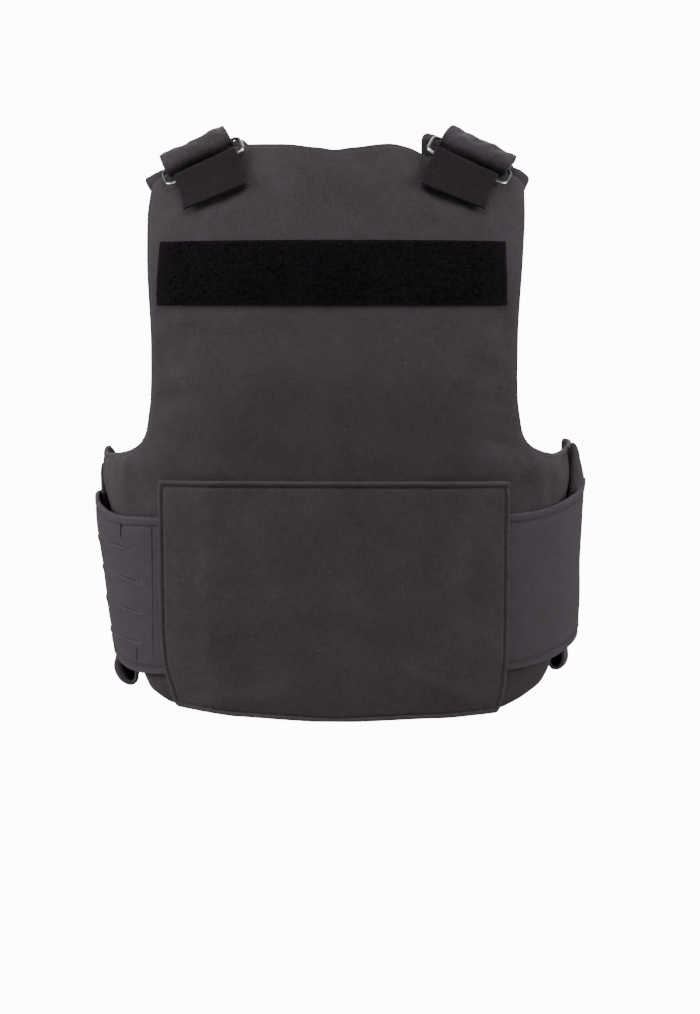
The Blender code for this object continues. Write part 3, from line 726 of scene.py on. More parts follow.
# columns: sideways, height, as seen from behind, from the neck out
BACK_NECK_RIGHT = ((20.0, 10.0), (46.0, 13.0), (62.0, 9.0), (76.0, 1.0))
BACK_NECK_LEFT = ((-20.0, 10.0), (-54.0, 13.0), (-74.0, 12.5), (-84.0, 11.0))
ARM_OPENING = (
    (154.0, -44.0), (153.5, -60.0), (151.5, -82.0), (149.0, -105.0), (147.0, -137.0),
    (146.5, -177.0), (147.0, -195.0), (149.0, -210.0), (150.2, -219.0), (153.0, -226.5),
    (158.5, -232.3), (167.0, -236.6), (176.0, -238.8),
)
BACK_HEM_RIGHT = (
    (179.0, -397.0), (176.0, -404.0), (171.0, -415.0), (163.5, -426.5), (148.5, -437.0),
    (134.0, -444.0), (105.0, -447.5), (40.0, -449.0),
)
BACK_HEM_LEFT = (
    (-165.0, -399.0), (-157.0, -408.0), (-154.0, -418.0), (-148.0, -431.0), (-132.0, -441.0),
    (-100.0, -446.0), (-40.0, -448.0),
)
FRONT_NECK = ((25.0, -61.0), (43.0, -55.0), (56.0, -42.0), (64.0, -24.0), (68.0, -8.0))
FRONT_ARM = (
    (147.0, -50.0), (141.0, -80.0), (136.0, -115.0), (134.0, -150.0), (136.0, -185.0),
    (142.0, -212.0), (151.0, -232.0), (164.0, -245.0), (178.0, -250.0),
)
FRONT_HEM = ((128.0, -440.0), (100.0, -444.0), (40.0, -446.0))
BACK_SHOULDER_END, BACK_SHOULDER_INNER, SHOULDER_OUTER = 165.0, 87.0, 150.5
FRONT_SHOULDER_END, FRONT_SHOULDER_INNER = 181.0, {-1: 77.5, 1: 67.0}
# columns: sideways, along the cloth, round the outer corner of the front on each shoulder
FRONT_CORNER = {
    -1: ((159.0, 182.0), (165.0, 174.0), (163.0, 156.0)),
    1: ((154.0, 181.0), (159.5, 170.0)),
}
BACK_WING_START, BACK_WING_END = (181.0, -239.0), 34.0
BACK_WING_TOP, BACK_WING_FOOT = {-1: -236.0, 1: -229.5}, -397.0
FRONT_WING_END, FRONT_WING_TIP = {-1: 9.0, 1: 26.0}, {-1: 9.0, 1: 33.0}
FRONT_WING_TOP = {-1: -248.0, 1: -227.5}
# the raised corner of the left back wing
EAR_START, EAR_BACK, EAR_UP, EAR_FALL = (-220.0, -121.0), 1.0, 2.0, 16.0
# columns: distance behind the widest point of the side, height, along the top of each front wing
FRONT_WING_EDGE = {
    -1: ((-8.0, -254.0), (2.0, -250.5)),
    1: ((-8.0, -254.0), (5.0, -249.0), (15.0, -242.0), (25.0, -234.0)),
}
SLEEVE_TOP, SLEEVE_BOTTOM, SLEEVE_RISE = -386.8, {-1: -434.5, 1: -419.0}, {-1: 13.0, 1: 4.0}
SLEEVE_END, SLEEVE_LAP = 58.0, 0.8
SLEEVE_CUT_TOP, SLEEVE_CUT_FOOT = 62.0, {-1: 84.0, 1: 66.0}


def mirrored_rows(rows, side):
    return [(side * x, height) for x, height in rows]


def back_half(side, neck, hem):
    """One half of the back carrier's outline, from the middle of the neck to the middle of the hem."""
    tip = BACK_SHOULDER_END
    shoulder = ((BACK_SHOULDER_INNER + 2.0, tip - 6.0), (BACK_SHOULDER_INNER + 8.0, tip),
                (SHOULDER_OUTER + 2.0, tip), (SHOULDER_OUTER + 6.0, tip - 12.0))
    top, foot = BACK_WING_TOP[side] - YOKE_Z, BACK_WING_FOOT - YOKE_Z
    wing = [(side_middle(along, side) + side * BACK_WING_END, along) for along in (top, foot)]
    start, crest = seen(mirrored_rows([BACK_WING_START], side))[0], (side_middle(top, side), top)
    if side < 0:
        start, crest = EAR_START, (crest[0] - EAR_BACK, top + EAR_UP)
        wing[0] = (wing[0][0], top - EAR_FALL)
    arm = seen(mirrored_rows(ARM_OPENING, side))
    return np.concatenate((seen(neck), mirrored_rows(shoulder, side), arm, [start, crest], wing, seen(hem)))


def front_half(side):
    """One half of the front carrier's outline, from the middle of the neck to the middle of the hem."""
    tip, inner = FRONT_SHOULDER_END, FRONT_SHOULDER_INNER[side]
    shoulder = ((inner + 1.0, tip - 4.0), (inner + 6.0, tip + 1.0), *FRONT_CORNER[side])
    top, low = FRONT_WING_TOP[side] - YOKE_Z, SLEEVE_BOTTOM[side] - YOKE_Z
    foot = SLEEVE_TOP + SLEEVE_LAP - YOKE_Z
    middle, lower = side_middle(top, side), side_middle(foot, side)
    wing = [(middle + side * behind, height - YOKE_Z) for behind, height in FRONT_WING_EDGE[side]]
    wing += [(middle + side * FRONT_WING_TIP[side], top), (lower + side * FRONT_WING_END[side], foot),
             (lower - side * SLEEVE_CUT_TOP, foot),
             (side_middle(low, side) - side * SLEEVE_CUT_FOOT[side], low)]
    neck, arm, hem = (seen(mirrored_rows(rows, side)) for rows in (FRONT_NECK, FRONT_ARM, FRONT_HEM))
    return np.concatenate((neck, mirrored_rows(shoulder, side), arm, wing, hem))


def evened(outline, step):
    """The closed outline with points about step apart."""
    closed = np.concatenate((outline, outline[:1]))
    walked = np.concatenate(([0.0], np.cumsum(np.linalg.norm(np.diff(closed, axis=0), axis=1))))
    even = np.linspace(0.0, walked[-1], max(8, int(walked[-1] / step)), endpoint=False)
    return np.stack((np.interp(even, walked, closed[:, 0]), np.interp(even, walked, closed[:, 1])), axis=1)


LET_OUT = 0.8  # what rounding the rim takes from an edge


def tailored(raw, step=5.0, part=6.0):
    return shifted(evened(softened(divided(np.array(raw), part)), step), -LET_OUT)


# how far the left wings flare out at their upper corner, and what part of that the front one takes
WING_FLARE, WING_FLARE_RUN, FRONT_FLARE_PART, FRONT_FLARE_THIN = 8.5, (-178.0, -118.0), 0.66, 3.3
# the right front wing's upper corner leans in, and its outer side stands further out
WING_LEAN, WING_LEAN_IN, WING_RIGHT_OUT = 3.6, 0.9, 3.4
# how far the front's shoulder ends bulge, at their outer and inner corner
SHOULDER_BULGE, SHOULDER_BULGE_IN = 5.5, 1.5


def back_cover(around, along):
    thick = PANEL_THICK + (SHOULDER_THICK - PANEL_THICK) * blend(along, *SHOULDER_BLEND)
    thick = thick + (WING_THICK - thick) * blend(np.abs(around), *BACK_WING_BLEND)
    flare = WING_FLARE * blend(-around, 176.0, 226.0) * blend(along, *WING_FLARE_RUN)
    return flare * (1.0 - 0.4 * blend(-around, 234.0, 256.0)), thick


def front_cover(around, along):
    thick = PANEL_THICK + (SHOULDER_THICK - PANEL_THICK) * blend(along, *SHOULDER_BLEND)
    wing = blend(np.abs(around), *FRONT_WING_BLEND)
    lean = blend(around, 238.0, 264.0) * blend(along, -150.0, -112.0)
    flare = blend(-around, 150.0, 186.0) * blend(along, *WING_FLARE_RUN)
    wider = WING_RIGHT_OUT * blend(around, 196.0, 236.0) * blend(along, -172.0, -150.0)
    out = wing * FRONT_WING_OUT - WING_LEAN_IN * lean + FRONT_FLARE_PART * WING_FLARE * flare
    thick = thick + (FRONT_WING_THICK - thick) * wing
    return out, thick - WING_LEAN * lean - FRONT_FLARE_THIN * flare + wider


# columns: around, along, lean, half width, half length, height of the fold
BACK_FOLDS = (
    (-171.0, -145.0, 0.05, 4.0, 34.0, 2.4),
    (-186.0, -150.0, -0.05, 5.0, 36.0, 2.2),
    (-201.0, -160.0, -0.1, 5.0, 40.0, 1.9),
    (166.0, -145.0, -0.1, 5.0, 34.0, 1.9),
    (184.0, -150.0, 0.05, 6.0, 36.0, 2.4),
    (204.0, -160.0, 0.1, 5.0, 40.0, 1.9),
    (150.0, -121.0, 0.5, 2.8, 13.0, -1.6),
    (158.0, -126.0, 0.55, 3.0, 14.0, 1.0),
    (-150.0, -119.0, -0.6, 3.0, 13.0, -1.1),
    (-158.0, -127.0, -0.8, 3.4, 14.0, 0.9),
    (-128.0, -60.0, 0.1, 9.0, 60.0, 0.7),
    (126.0, -70.0, -0.1, 10.0, 55.0, 0.7),
    (60.0, -128.0, 1.5, 8.0, 70.0, -0.5),
    (-40.0, -122.0, -1.45, 9.0, 80.0, -0.6),
)


def folds(table, around, along):
    """Soft folds, each a ridge or a dent that fades out towards its ends."""
    total = np.zeros_like(around)
    for middle, level, lean, wide, long, height in table:
        run = np.array((np.sin(lean), np.cos(lean)))
        on = (around - middle) * run[0] + (along - level) * run[1]
        off = (around - middle) * run[1] - (along - level) * run[0]
        total += height * np.exp(-(off / wide) ** 2) * np.exp(-(on / long) ** 4)
    return total


def free_of_layers(around, along):
    """1 where nothing lies on the back carrier, and 0 under the strip, flap, bands and straps."""
    aside = np.abs(around)
    under_strip = blend(along, -8.0, 0.0) * (1.0 - blend(along, 56.0, 66.0))
    under_strip = under_strip * (1.0 - blend(aside, 142.0, 154.0))
    under_flap = (1.0 - blend(along, -146.0, -128.0)) * (aside < 160.0)
    under_band = (1.0 - blend(along, -164.0, -148.0)) * blend(aside, 90.0, 110.0)
    under_strap = blend(along, 78.0, 92.0) * blend(aside, 70.0, 82.0)
    return 1.0 - np.clip(under_strip + under_flap + under_band + under_strap, 0.0, 1.0)


def seam(inset):
    """The topstitched edge: a groove along the stitches and a soft roll outside it."""
    return 0.35 * bell(inset, 2.4, 1.6) - 0.75 * bell(inset, TOPSTITCH_IN, 1.1)


def back_relief(around, along, inset):
    free = free_of_layers(around, along)
    swell = 4.2 * bell(along, -66.0, 42.0) * blend(inset, 8.0, 60.0)
    swell = swell + 1.2 * bell(along, 88.0, 22.0) * blend(inset, 8.0, 40.0)
    soft = 0.5 * ripple(around, along, 46.0) + 0.22 * ripple(around, along, 17.0)
    wings = folds(BACK_FOLDS, around, along) * (1.0 - blend(-along, 166.0, 172.0))
    return seam(inset) + free * (swell + soft) + wings * blend(inset, 2.0, 12.0)


def free_of_bands(around, along):
    """1 where no band lies on the front carrier."""
    return 1.0 - (1.0 - blend(along, -158.0, -140.0)) * blend(np.abs(around), 40.0, 60.0)


def front_relief(around, along, inset):
    free = free_of_bands(around, along) * (1.0 - blend(along, 88.0, 100.0) * (np.abs(around) < 120.0))
    soft = 0.6 * ripple(around, along, 60.0) + 0.25 * ripple(around, along, 19.0)
    swell = 2.0 * bell(along, -60.0, 70.0) * blend(inset, 8.0, 60.0)
    bulge = SHOULDER_BULGE * blend(np.abs(around), 122.0, 146.0)
    bulge = bulge + SHOULDER_BULGE_IN * (1.0 - blend(np.abs(around), 80.0, 98.0))
    return bulge * blend(along, 120.0, 160.0) + seam(inset) + free * (soft + swell)


AIR_PRESSURE, AIR_MOST, AIR_FRAMES, AIR_SHRINK = 4.0, 1.6, 20, -0.012


def puffed(piece, free):
    """Air pressure swells the outer skin by AIR_MOST mm at most. Free is 0 where it can't move."""
    held = np.concatenate((np.ones(len(free)), 1.0 - free))
    start = np.zeros(len(piece.data.vertices) * 3)
    piece.data.vertices.foreach_get("co", start)
    group = piece.vertex_groups.new(name="held")
    for index, weight in enumerate(held.tolist()):
        group.add([index], weight, "REPLACE")
    cloth = piece.modifiers.new("air", "CLOTH")
    rules = cloth.settings
    rules.quality = 6
    rules.vertex_group_mass = "held"
    rules.use_pressure, rules.uniform_pressure_force = True, AIR_PRESSURE
    rules.effector_weights.gravity = 0.0
    rules.shrink_min = AIR_SHRINK
    cloth.point_cache.frame_start, cloth.point_cache.frame_end = 1, AIR_FRAMES
    for step in range(1, AIR_FRAMES + 1):
        bpy.context.scene.frame_set(step)
    moved = np.zeros_like(start)
    graph = bpy.context.evaluated_depsgraph_get()
    evaluated = piece.evaluated_get(graph).data
    evaluated.vertices.foreach_get("co", moved)
    step = (moved - start).reshape(-1, 3)
    size = np.linalg.norm(step, axis=1)[:, None]
    step *= np.minimum(1.0, AIR_MOST * METRES / np.maximum(size, 1e-9)) * (1.0 - held)[:, None]
    piece.modifiers.remove(cloth)
    bpy.context.scene.frame_set(1)
    piece.vertex_groups.clear()
    piece.data.vertices.foreach_set("co", start + step.ravel())
    piece.data.update()


CARRIER_INSETS = (1.0, 2.6, 4.4, 5.8, 8.0)
back_outline = tailored(np.concatenate((
    seen([(0.0, 7.0)]), back_half(1, BACK_NECK_RIGHT, BACK_HEM_RIGHT),
    back_half(-1, BACK_NECK_LEFT, BACK_HEM_LEFT)[::-1])))
front_outline = tailored(np.concatenate((seen([(0.0, -62.0)]), front_half(1), front_half(-1)[::-1])))

back_cut = cut_piece(back_outline, 7.0, CARRIER_INSETS)
back_carrier = layer("back_carrier", back_cut, back_cover, carrier_cloth, False, RIM_ROUND, back_relief)
flat, _, inset = back_cut
puffed(back_carrier, free_of_layers(*flat.T) * blend(inset, 5.0, 20.0))

front_cut = cut_piece(front_outline, 7.5, CARRIER_INSETS)
front_carrier = layer("front_carrier", front_cut, front_cover, carrier_cloth, True, RIM_ROUND, front_relief)
flat, _, inset = front_cut
below_neck = 1.0 - blend(flat[:, 1], 70.0, 90.0)
puffed(front_carrier, free_of_bands(*flat.T) * below_neck * blend(inset, 5.0, 20.0))


def line_on(cut_flat, inset, cover, relief=None, front=False, rounding=0.0, proud=0.05):
    """Points just over the outer skin of a layer, for a row of stitches."""
    around, along = np.asarray(cut_flat, float).T
    far = np.full(len(around), float(inset)) if np.ndim(inset) == 0 else inset
    flat_points = np.stack((around, along), axis=1)
    lifted = (lambda *at: relief(*at) + proud) if relief else (lambda *at: proud)
    return layer_skins(flat_points, far, cover, front, rounding, lifted)[1]


def topstitched(name, outline, cover, relief, front):
    row = line_on(moved_in(outline, TOPSTITCH_IN), TOPSTITCH_IN, cover, relief, front, RIM_ROUND)
    return stitched(name, [(row, True)], sewing_thread)


back_stitches = topstitched("back_topstitch", back_outline, back_cover, back_relief, False)
front_stitches = topstitched("front_topstitch", front_outline, front_cover, front_relief, True)

# The loop strip across the upper back

STRIP_LEFT, STRIP_RIGHT, STRIP_TOP, STRIP_BOTTOM = -142.0, 139.0, -66.0, -118.0
STRIP_GAP, STRIP_BASE, STRIP_END, END_PILE = 0.95, 1.2, 9.0, 0.2
LOOPS_EACH_SQUARE_METRE, LOOP_HIGH, LOOP_THREAD = 420000.0, 0.55, 0.17
strip_corners = np.array([(STRIP_LEFT, STRIP_TOP), (STRIP_RIGHT, STRIP_TOP),
                          (STRIP_RIGHT, STRIP_BOTTOM), (STRIP_LEFT, STRIP_BOTTOM)])
strip_outline = divided(seen(divided(strip_corners, 4.0), PANEL_THICK), 4.0)


def strip_cover(around, along):
    return back_cover(around, along)[1] + STRIP_GAP, np.full_like(around, STRIP_BASE)


def strip_relief(around, along, inset):
    return 0.15 * ripple(around, along, 22.0)


strip_cut = cut_piece(strip_outline, 5.0, (1.0,))
strip_cloth = woven("strip_cloth", (0.0082, 0.0062, 0.0085), 1500.0, 0.9, 0.3, 0.0, 0.03)
loop_base = layer("loop_strip_base", strip_cut, strip_cover, strip_cloth, relief=strip_relief)


def pile_bed():
    """The strip's face, with the share of loops that each part carries: few at its sewn ends."""
    flat, faces, inset = strip_cut
    around, along = flat.T
    out, thick = strip_cover(around, along)
    points = on_form(around, along, out + thick + strip_relief(around, along, inset))
    bed = mesh_object("pile_bed", points, faces.tolist(), loop_pile)
    from_end = np.minimum(points[:, 0] - STRIP_LEFT, STRIP_RIGHT - points[:, 0])
    share = END_PILE + (1.0 - END_PILE) * blend(from_end, STRIP_END - 1.0, STRIP_END + 1.0)
    kept = bed.data.attributes.new("pile", "FLOAT", "POINT")
    kept.data.foreach_set("value", (share * (inset > 0.5)).astype(np.float32))
    middle = bed.data.polygons[0].normal
    if middle.y > 0.0:
        bed.data.flip_normals()
    return bed


pile_loops = grown("loop_strip_pile", pile_bed(), PILE, Density=LOOPS_EACH_SQUARE_METRE, Seed=7,
                   Height=LOOP_HIGH * METRES, Thread=LOOP_THREAD * METRES, Material=loop_pile)

# The flap over the lower back

FLAP_RIGHT = (
    (142.0, -259.0), (141.5, -340.0), (141.0, -400.0), (138.5, -425.0), (135.5, -440.0), (132.5, -446.5),
)
FLAP_FOOT = ((90.0, -450.0), (0.0, -454.0), (-80.0, -449.5))
FLAP_LEFT = (
    (-141.0, -259.0), (-140.5, -340.0), (-140.0, -385.0), (-137.5, -412.0), (-129.0, -438.0),
    (-126.5, -442.5),
)
FLAP_SEEN_OUT, FLAP_STEP_UP, FLAP_STEP = 20.0, 4.8, (62.0, 98.0)
HEM_WIDE, HEM_HIGH, HEM_STITCH, TOP_BAR = 2.9, 0.8, 3.7, 5.0
flap_rows = divided(np.array(FLAP_RIGHT + FLAP_FOOT + FLAP_LEFT[::-1]), 6.0)
flap_outline = divided(seen(flap_rows, FLAP_SEEN_OUT), 3.6)
flap_top = float(np.median(flap_outline[np.abs(flap_outline[:, 0]) < 100.0][:, 1].max()))

# columns: around, along, lean, half width, half length, height of the fold
FLAP_FOLDS = (
    (-20.0, -305.0, 0.15, 26.0, 46.0, 1.1),
    (70.0, -300.0, -0.1, 20.0, 40.0, 0.8),
    (-88.0, -292.0, 0.2, 16.0, 46.0, 0.7),
    (30.0, -210.0, 1.35, 26.0, 90.0, -0.7),
    (-60.0, -250.0, 1.2, 20.0, 70.0, 0.6),
    (106.0, -240.0, 0.0, 5.0, 80.0, -0.8),
    (-74.0, -318.0, 1.3, 6.0, 46.0, 1.5),
    (88.0, -306.0, -1.15, 7.0, 36.0, 1.4),
    (-96.0, -300.0, 0.5, 6.0, 30.0, -1.1),
    (-106.0, -245.0, 0.0, 5.0, 80.0, -0.8),
)


def flap_cover(around, along):
    """The flap steps up over the bands' rear ends."""
    return FLAP_OUT + FLAP_STEP_UP * blend(np.abs(around), *FLAP_STEP), np.full_like(around, FLAP_THICK)


def flap_relief(around, along, inset):
    from_top = flap_top - along
    on_side = blend(from_top, TOP_BAR - 0.4, TOP_BAR + 2.0)
    hem = HEM_HIGH * (1.0 - blend(inset, HEM_WIDE - 0.6, HEM_WIDE + 0.6)) * on_side
    groove = -0.8 * bell(inset, HEM_STITCH, 0.8) * on_side
    bar = 0.9 * bell(from_top, 0.45 * TOP_BAR, 0.34 * TOP_BAR) - 1.5 * bell(from_top, TOP_BAR + 0.4, 0.9)
    soft = 0.45 * ripple(around, along, 52.0) + 0.16 * ripple(around, along, 15.0)
    waves = folds(FLAP_FOLDS, around, along) * blend(inset, 3.0, 16.0)
    return hem + groove + bar + soft * blend(inset, 4.0, 20.0) + waves


flap_cut = cut_piece(flap_outline, 6.0, (0.8, 1.8, 2.8, 3.6, 4.5, 5.4, 6.4, 7.6))
back_flap = layer("flap_sheet", flap_cut, flap_cover, flap_cloth, relief=flap_relief)
flap_seam = moved_in(flap_outline, HEM_STITCH)
flap_stitches = stitched("flap_stitches", [
    (line_on(flap_seam, HEM_STITCH, flap_cover, flap_relief), True)], sewing_thread, 3.2, 2.4, 0.6)

# The side bands

# columns: top, foot, rise of the top, rise of the foot
BAND_LEFT, BAND_RIGHT = (-289.0, -416.0, 17.0, 26.0), (-285.0, -411.5, 26.0, 23.0)
TOP_RISE, FOOT_RISE = {-1: (165.0, 245.0), 1: (140.0, 258.0)}, {-1: (150.0, 250.0), 1: (130.0, 245.0)}
BAND_TOP_HEM, BAND_FOOT_HEMS, BAND_HEM_HIGH, BAND_OFF = 6.5, (5.5, 10.5), 0.45, 2.6
SLIT_LONG, SLIT_WIDE, SLIT_SPACING, SLIT_SEEN_OUT = 30.0, 0.26, 38.0, 18.0
SLIT_LIPS, LIP_HIGH, LIP_DOWN = (0.7, 1.4, 2.2), 1.3, 1.3
# columns: inner end, outer end, each sideways and height, as seen from behind
SLIT_ROWS = (
    ((-162.0, -316.8), (-181.0, -312.8)),
    ((-156.6, -343.8), (-175.8, -338.1)),
    ((-157.0, -368.4), (-170.5, -365.0)),
    ((-158.2, -392.9), (-172.9, -389.6)),
)


def band_edges(side, sizes):
    """Upper and lower edge of a band on the flat cloth, from under the flap to the front."""
    top, foot, top_rise, foot_rise = sizes
    length = half_section(0.5 * (top + foot), side)[1] - BAND_END
    x = np.linspace(BAND_START, length, int((length - BAND_START) / 4.0))
    upper = top + top_rise * blend(x, *TOP_RISE[side]) - YOKE_Z
    lower = foot + foot_rise * blend(x, *FOOT_RISE[side]) - YOKE_Z
    return side * x, upper, lower


def band_outline(side, sizes):
    x, upper, lower = band_edges(side, sizes)
    return np.concatenate((np.stack((x, upper), axis=1), np.stack((x, lower), axis=1)[::-1]))


def band_slits(side):
    """Slits through the band, in rows, column after column towards the front, and the rings round each."""
    turn = np.linspace(0.0, 2 * np.pi, 20, endpoint=False)
    slits, lips = [], []
    for inner, outer in SLIT_ROWS:
        start, end = seen([inner, outer], SLIT_SEEN_OUT)
        run = (end - start) / np.linalg.norm(end - start)
        for column in range(4):
            middle = start + run * 0.5 * SLIT_LONG + np.array((side, 0.12)) * SLIT_SPACING * column
            up = np.array((-run[1], run[0]))
            for more, kept in zip((0.0, *SLIT_LIPS), (slits, lips, lips, lips)):
                lens = np.outer(np.cos(turn) * (0.5 * SLIT_LONG + more), run)
                kept.append(middle + lens + np.outer(np.sin(turn) * (0.5 * SLIT_WIDE + more), up))
    return slits, lips


def band_cover(around, along):
    """The bands stand off a little at the right side."""
    off = blend(around, 180.0, 235.0) * (1.0 - blend(around, 300.0, 380.0)) * bell(along, -245.0, 38.0)
    return BAND_OUT + BAND_OFF * off, np.full_like(around, BAND_THICK)


def side_band(name, side, sizes, slits=(), lip_rings=()):
    x, upper, lower = band_edges(side, sizes)
    outline = evened(divided(band_outline(side, sizes), 4.0), 4.0)
    middles = [(slit.mean(axis=0), slit[0] - slit[10]) for slit in slits]

    def relief(around, along, inset):
        top = np.interp(side * around, side * x, upper)
        foot = np.interp(side * around, side * x, lower)
        down, up = top - along, along - foot
        hems = BAND_HEM_HIGH * (1.0 - blend(down, BAND_TOP_HEM - 0.6, BAND_TOP_HEM + 0.5))
        hems = hems + BAND_HEM_HIGH * (1.0 - blend(up, BAND_FOOT_HEMS[1] - 0.6, BAND_FOOT_HEMS[1] + 0.5))
        hems = hems - 0.8 * bell(down, BAND_TOP_HEM + 0.9, 0.9) - 0.5 * bell(up, BAND_FOOT_HEMS[0], 0.9)
        lips = np.zeros_like(around)
        for middle, axis in middles:
            run = axis / np.linalg.norm(axis) * -side
            on = (around - middle[0]) * run[0] + (along - middle[1]) * run[1]
            off = (along - middle[1]) * abs(run[0]) - (around - middle[0]) * run[1] * np.sign(run[0])
            part = 1.0 - blend(np.abs(on), 0.38 * SLIT_LONG, 0.56 * SLIT_LONG)
            lips += part * (LIP_HIGH * bell(off, -LIP_DOWN, 0.8) * (off < 0.0) - 0.4 * bell(off, 1.4, 1.2))
        soft = 0.35 * ripple(around, along, 44.0)
        soft = soft + 0.3 * np.sin(np.asarray(along) / 9.0) * ripple(around, along, 60.0)
        return hems + lips + soft * blend(inset, 3.0, 14.0)

    cut = cut_piece(outline, 5.0, (1.0, 3.4, 5.4, 6.6, 7.4, 8.2, 9.6), slits, lip_rings)
    band = layer(name, cut, band_cover, band_cloth, relief=relief)
    inner = moved_in(outline, BAND_TOP_HEM + 0.9)
    rows = [(line_on(inner, BAND_TOP_HEM, band_cover, relief), True)]
    low_row = moved_in(outline, BAND_FOOT_HEMS[0])
    row_above = low_row[:, 1] - np.interp(side * low_row[:, 0], side * x, lower)
    low_row = low_row[row_above < BAND_FOOT_HEMS[0] + 1.5]
    low_row = low_row[np.argsort(side * low_row[:, 0])]
    rows.append((line_on(low_row, BAND_FOOT_HEMS[0], band_cover, relief), False))
    return band, stitched(name + "_stitches", rows, sewing_thread, 3.0, 2.2, 0.5)


band_left, band_left_stitches = side_band("band_left", -1, BAND_LEFT, *band_slits(-1))
band_right, band_right_stitches = side_band("band_right", 1, BAND_RIGHT)


# columns: sideways, upper and lower end, of each bar of close stitches on the left band
BAR_TACKS = ((-174.7, -296.0, -306.0), (-162.0, -397.7, -412.0))
SIDE_ROW = (-147.3, -284.0, -420.0)


def close_bars():
    """Short upright bars of close stitches on the left band."""
    rows = []
    for x, top, foot in BAR_TACKS:
        at = seen([(x, height) for height in np.linspace(top, foot, 12)], SLIT_SEEN_OUT)
        rows.append((on_form(*at.T, BAND_OUT + BAND_THICK + 0.15), False))
    return stitched("bar_tacks", rows, sewing_thread, 0.7, 1.3, 1.1)


bar_tacks = close_bars()
side_row_at = seen([(SIDE_ROW[0], height) for height in np.linspace(*SIDE_ROW[1:], 40)], SLIT_SEEN_OUT)
side_row_points = on_form(*side_row_at.T, BAND_OUT + BAND_THICK + 0.1)
side_row = stitched("band_side_row", [(side_row_points, False)], sewing_thread, 3.0, 2.3, 0.7)

# Folded pieces: the side folds, the straps and the tabs

def smooth_line(rows, parts=4):
    """The rows as a smooth curve through them, parts steps between each two."""
    rows = np.asarray(rows, float)
    padded = np.concatenate((2 * rows[:1] - rows[1:2], rows, 2 * rows[-1:] - rows[-2:-1]))
    found = []
    for before, start, end, after in zip(padded, padded[1:], padded[2:], padded[3:]):
        for part in np.arange(parts) / parts:
            bend, twist = 2 * before - 5 * start + 4 * end - after, 3 * start - before - 3 * end + after
            found.append(0.5 * (2 * start + (end - before) * part + bend * part ** 2 + twist * part ** 3))
    return np.array(found + [rows[-1]])


def quads_between(here, there, count):
    """The quads between two closed rings of points, each from its first point's number on."""
    ahead = [(j + 1) % count for j in range(count)]
    return [(here + j, here + ahead[j], there + ahead[j], there + j) for j in range(count)]


def folded(name, line, stations, place, surface, crown=0.45, edge=6.0, relief=None, parts=4, under=-0.35):
    """A thick strip, its section the line (two columns and its thickness), swept over the stations.

    Relief lifts its upper side, and its lower side by under times as much.
    """
    curve = smooth_line(line, parts)
    middle, thick = curve[:, :2], curve[:, 2]
    ahead = np.gradient(middle, axis=0)
    ahead /= np.linalg.norm(ahead, axis=1)[:, None]
    normal = np.stack((-ahead[:, 1], ahead[:, 0]), axis=1)
    walked = np.concatenate(([0.0], np.cumsum(np.linalg.norm(np.diff(middle, axis=0), axis=1))))
    across, on = np.meshgrid(stations, walked, indexing="ij")
    from_side = np.minimum(across - stations[0], stations[-1] - across)
    rounded = np.sqrt(np.maximum(0.0, 1.0 - (1.0 - np.minimum(from_side / edge, 1.0)) ** 2))
    half = 0.5 * thick[None, :] * (crown + (1.0 - crown) * rounded)
    lift = relief(across, on, from_side) if relief else np.zeros_like(half)
    top = middle[None] + (half + lift)[..., None] * normal[None]
    low = middle[None] - (half + under * lift)[..., None] * normal[None]
    loop = np.concatenate((top, low[:, ::-1]), axis=1)
    stretch = np.repeat(across[:, :1], loop.shape[1], axis=1)
    points = place(stretch.ravel(), loop[..., 0].ravel(), loop[..., 1].ravel())
    wide, round_it = len(stations), loop.shape[1]
    faces = []
    for i in range(wide - 1):
        faces += quads_between(i * round_it, (i + 1) * round_it, round_it)
    for first in (0, (wide - 1) * round_it):
        last = first + round_it - 1
        faces += [(first + j, first + j + 1, last - 1 - j, last - j) for j in range(len(curve) - 1)]
    cloth_at = np.stack((stretch, np.concatenate((on, on[:, ::-1]), axis=1)), axis=-1).reshape(-1, 2)
    inset = np.concatenate((from_side, from_side[:, ::-1]), axis=1).ravel()
    return mesh_object(name, points, faces, surface, cloth_at, inset)


def even_stations(start, end, step, tight=(1.0, 2.6, 4.6)):
    """Stations with extra ones close to both ends, where the edge rounds."""
    middle = np.linspace(start + tight[-1] + 1.5, end - tight[-1] - 1.5, max(3, int((end - start) / step)))
    near, far = [start + gap for gap in tight], [end - gap for gap in tight[::-1]]
    return np.array([start, *near, *middle, *far, end])


# columns: distance out of the form, height above the fold, thickness
SLEEVE_LEFT = (
    (10.4, 47.2, 3.2), (10.4, 40.0, 3.2), (12.0, 33.0, 3.6), (16.6, 25.0, 6.0), (18.4, 18.0, 8.0),
    (16.8, 10.0, 7.6), (13.0, 4.8, 6.0), (9.0, 2.8, 4.4), (5.8, 4.4, 3.4), (4.2, 9.6, 3.0),
    (3.0, 18.0, 3.0), (0.4, 26.0, 3.0), (-3.4, 34.0, 3.0), (-4.6, 42.0, 3.0), (-4.6, 52.0, 3.0),
)
SLEEVE_RIGHT = (
    (10.4, 34.2, 3.2), (10.4, 26.0, 3.2), (10.8, 19.0, 3.6), (12.0, 13.0, 4.0), (11.9, 8.4, 4.0),
    (10.0, 4.4, 3.8), (6.8, 2.4, 3.4), (3.4, 2.6, 3.0), (0.8, 5.4, 2.8), (-0.8, 10.0, 2.8),
    (-2.6, 16.0, 2.8), (-4.4, 22.0, 2.8), (-4.8, 30.0, 2.8), (-4.8, 42.0, 2.8),
)


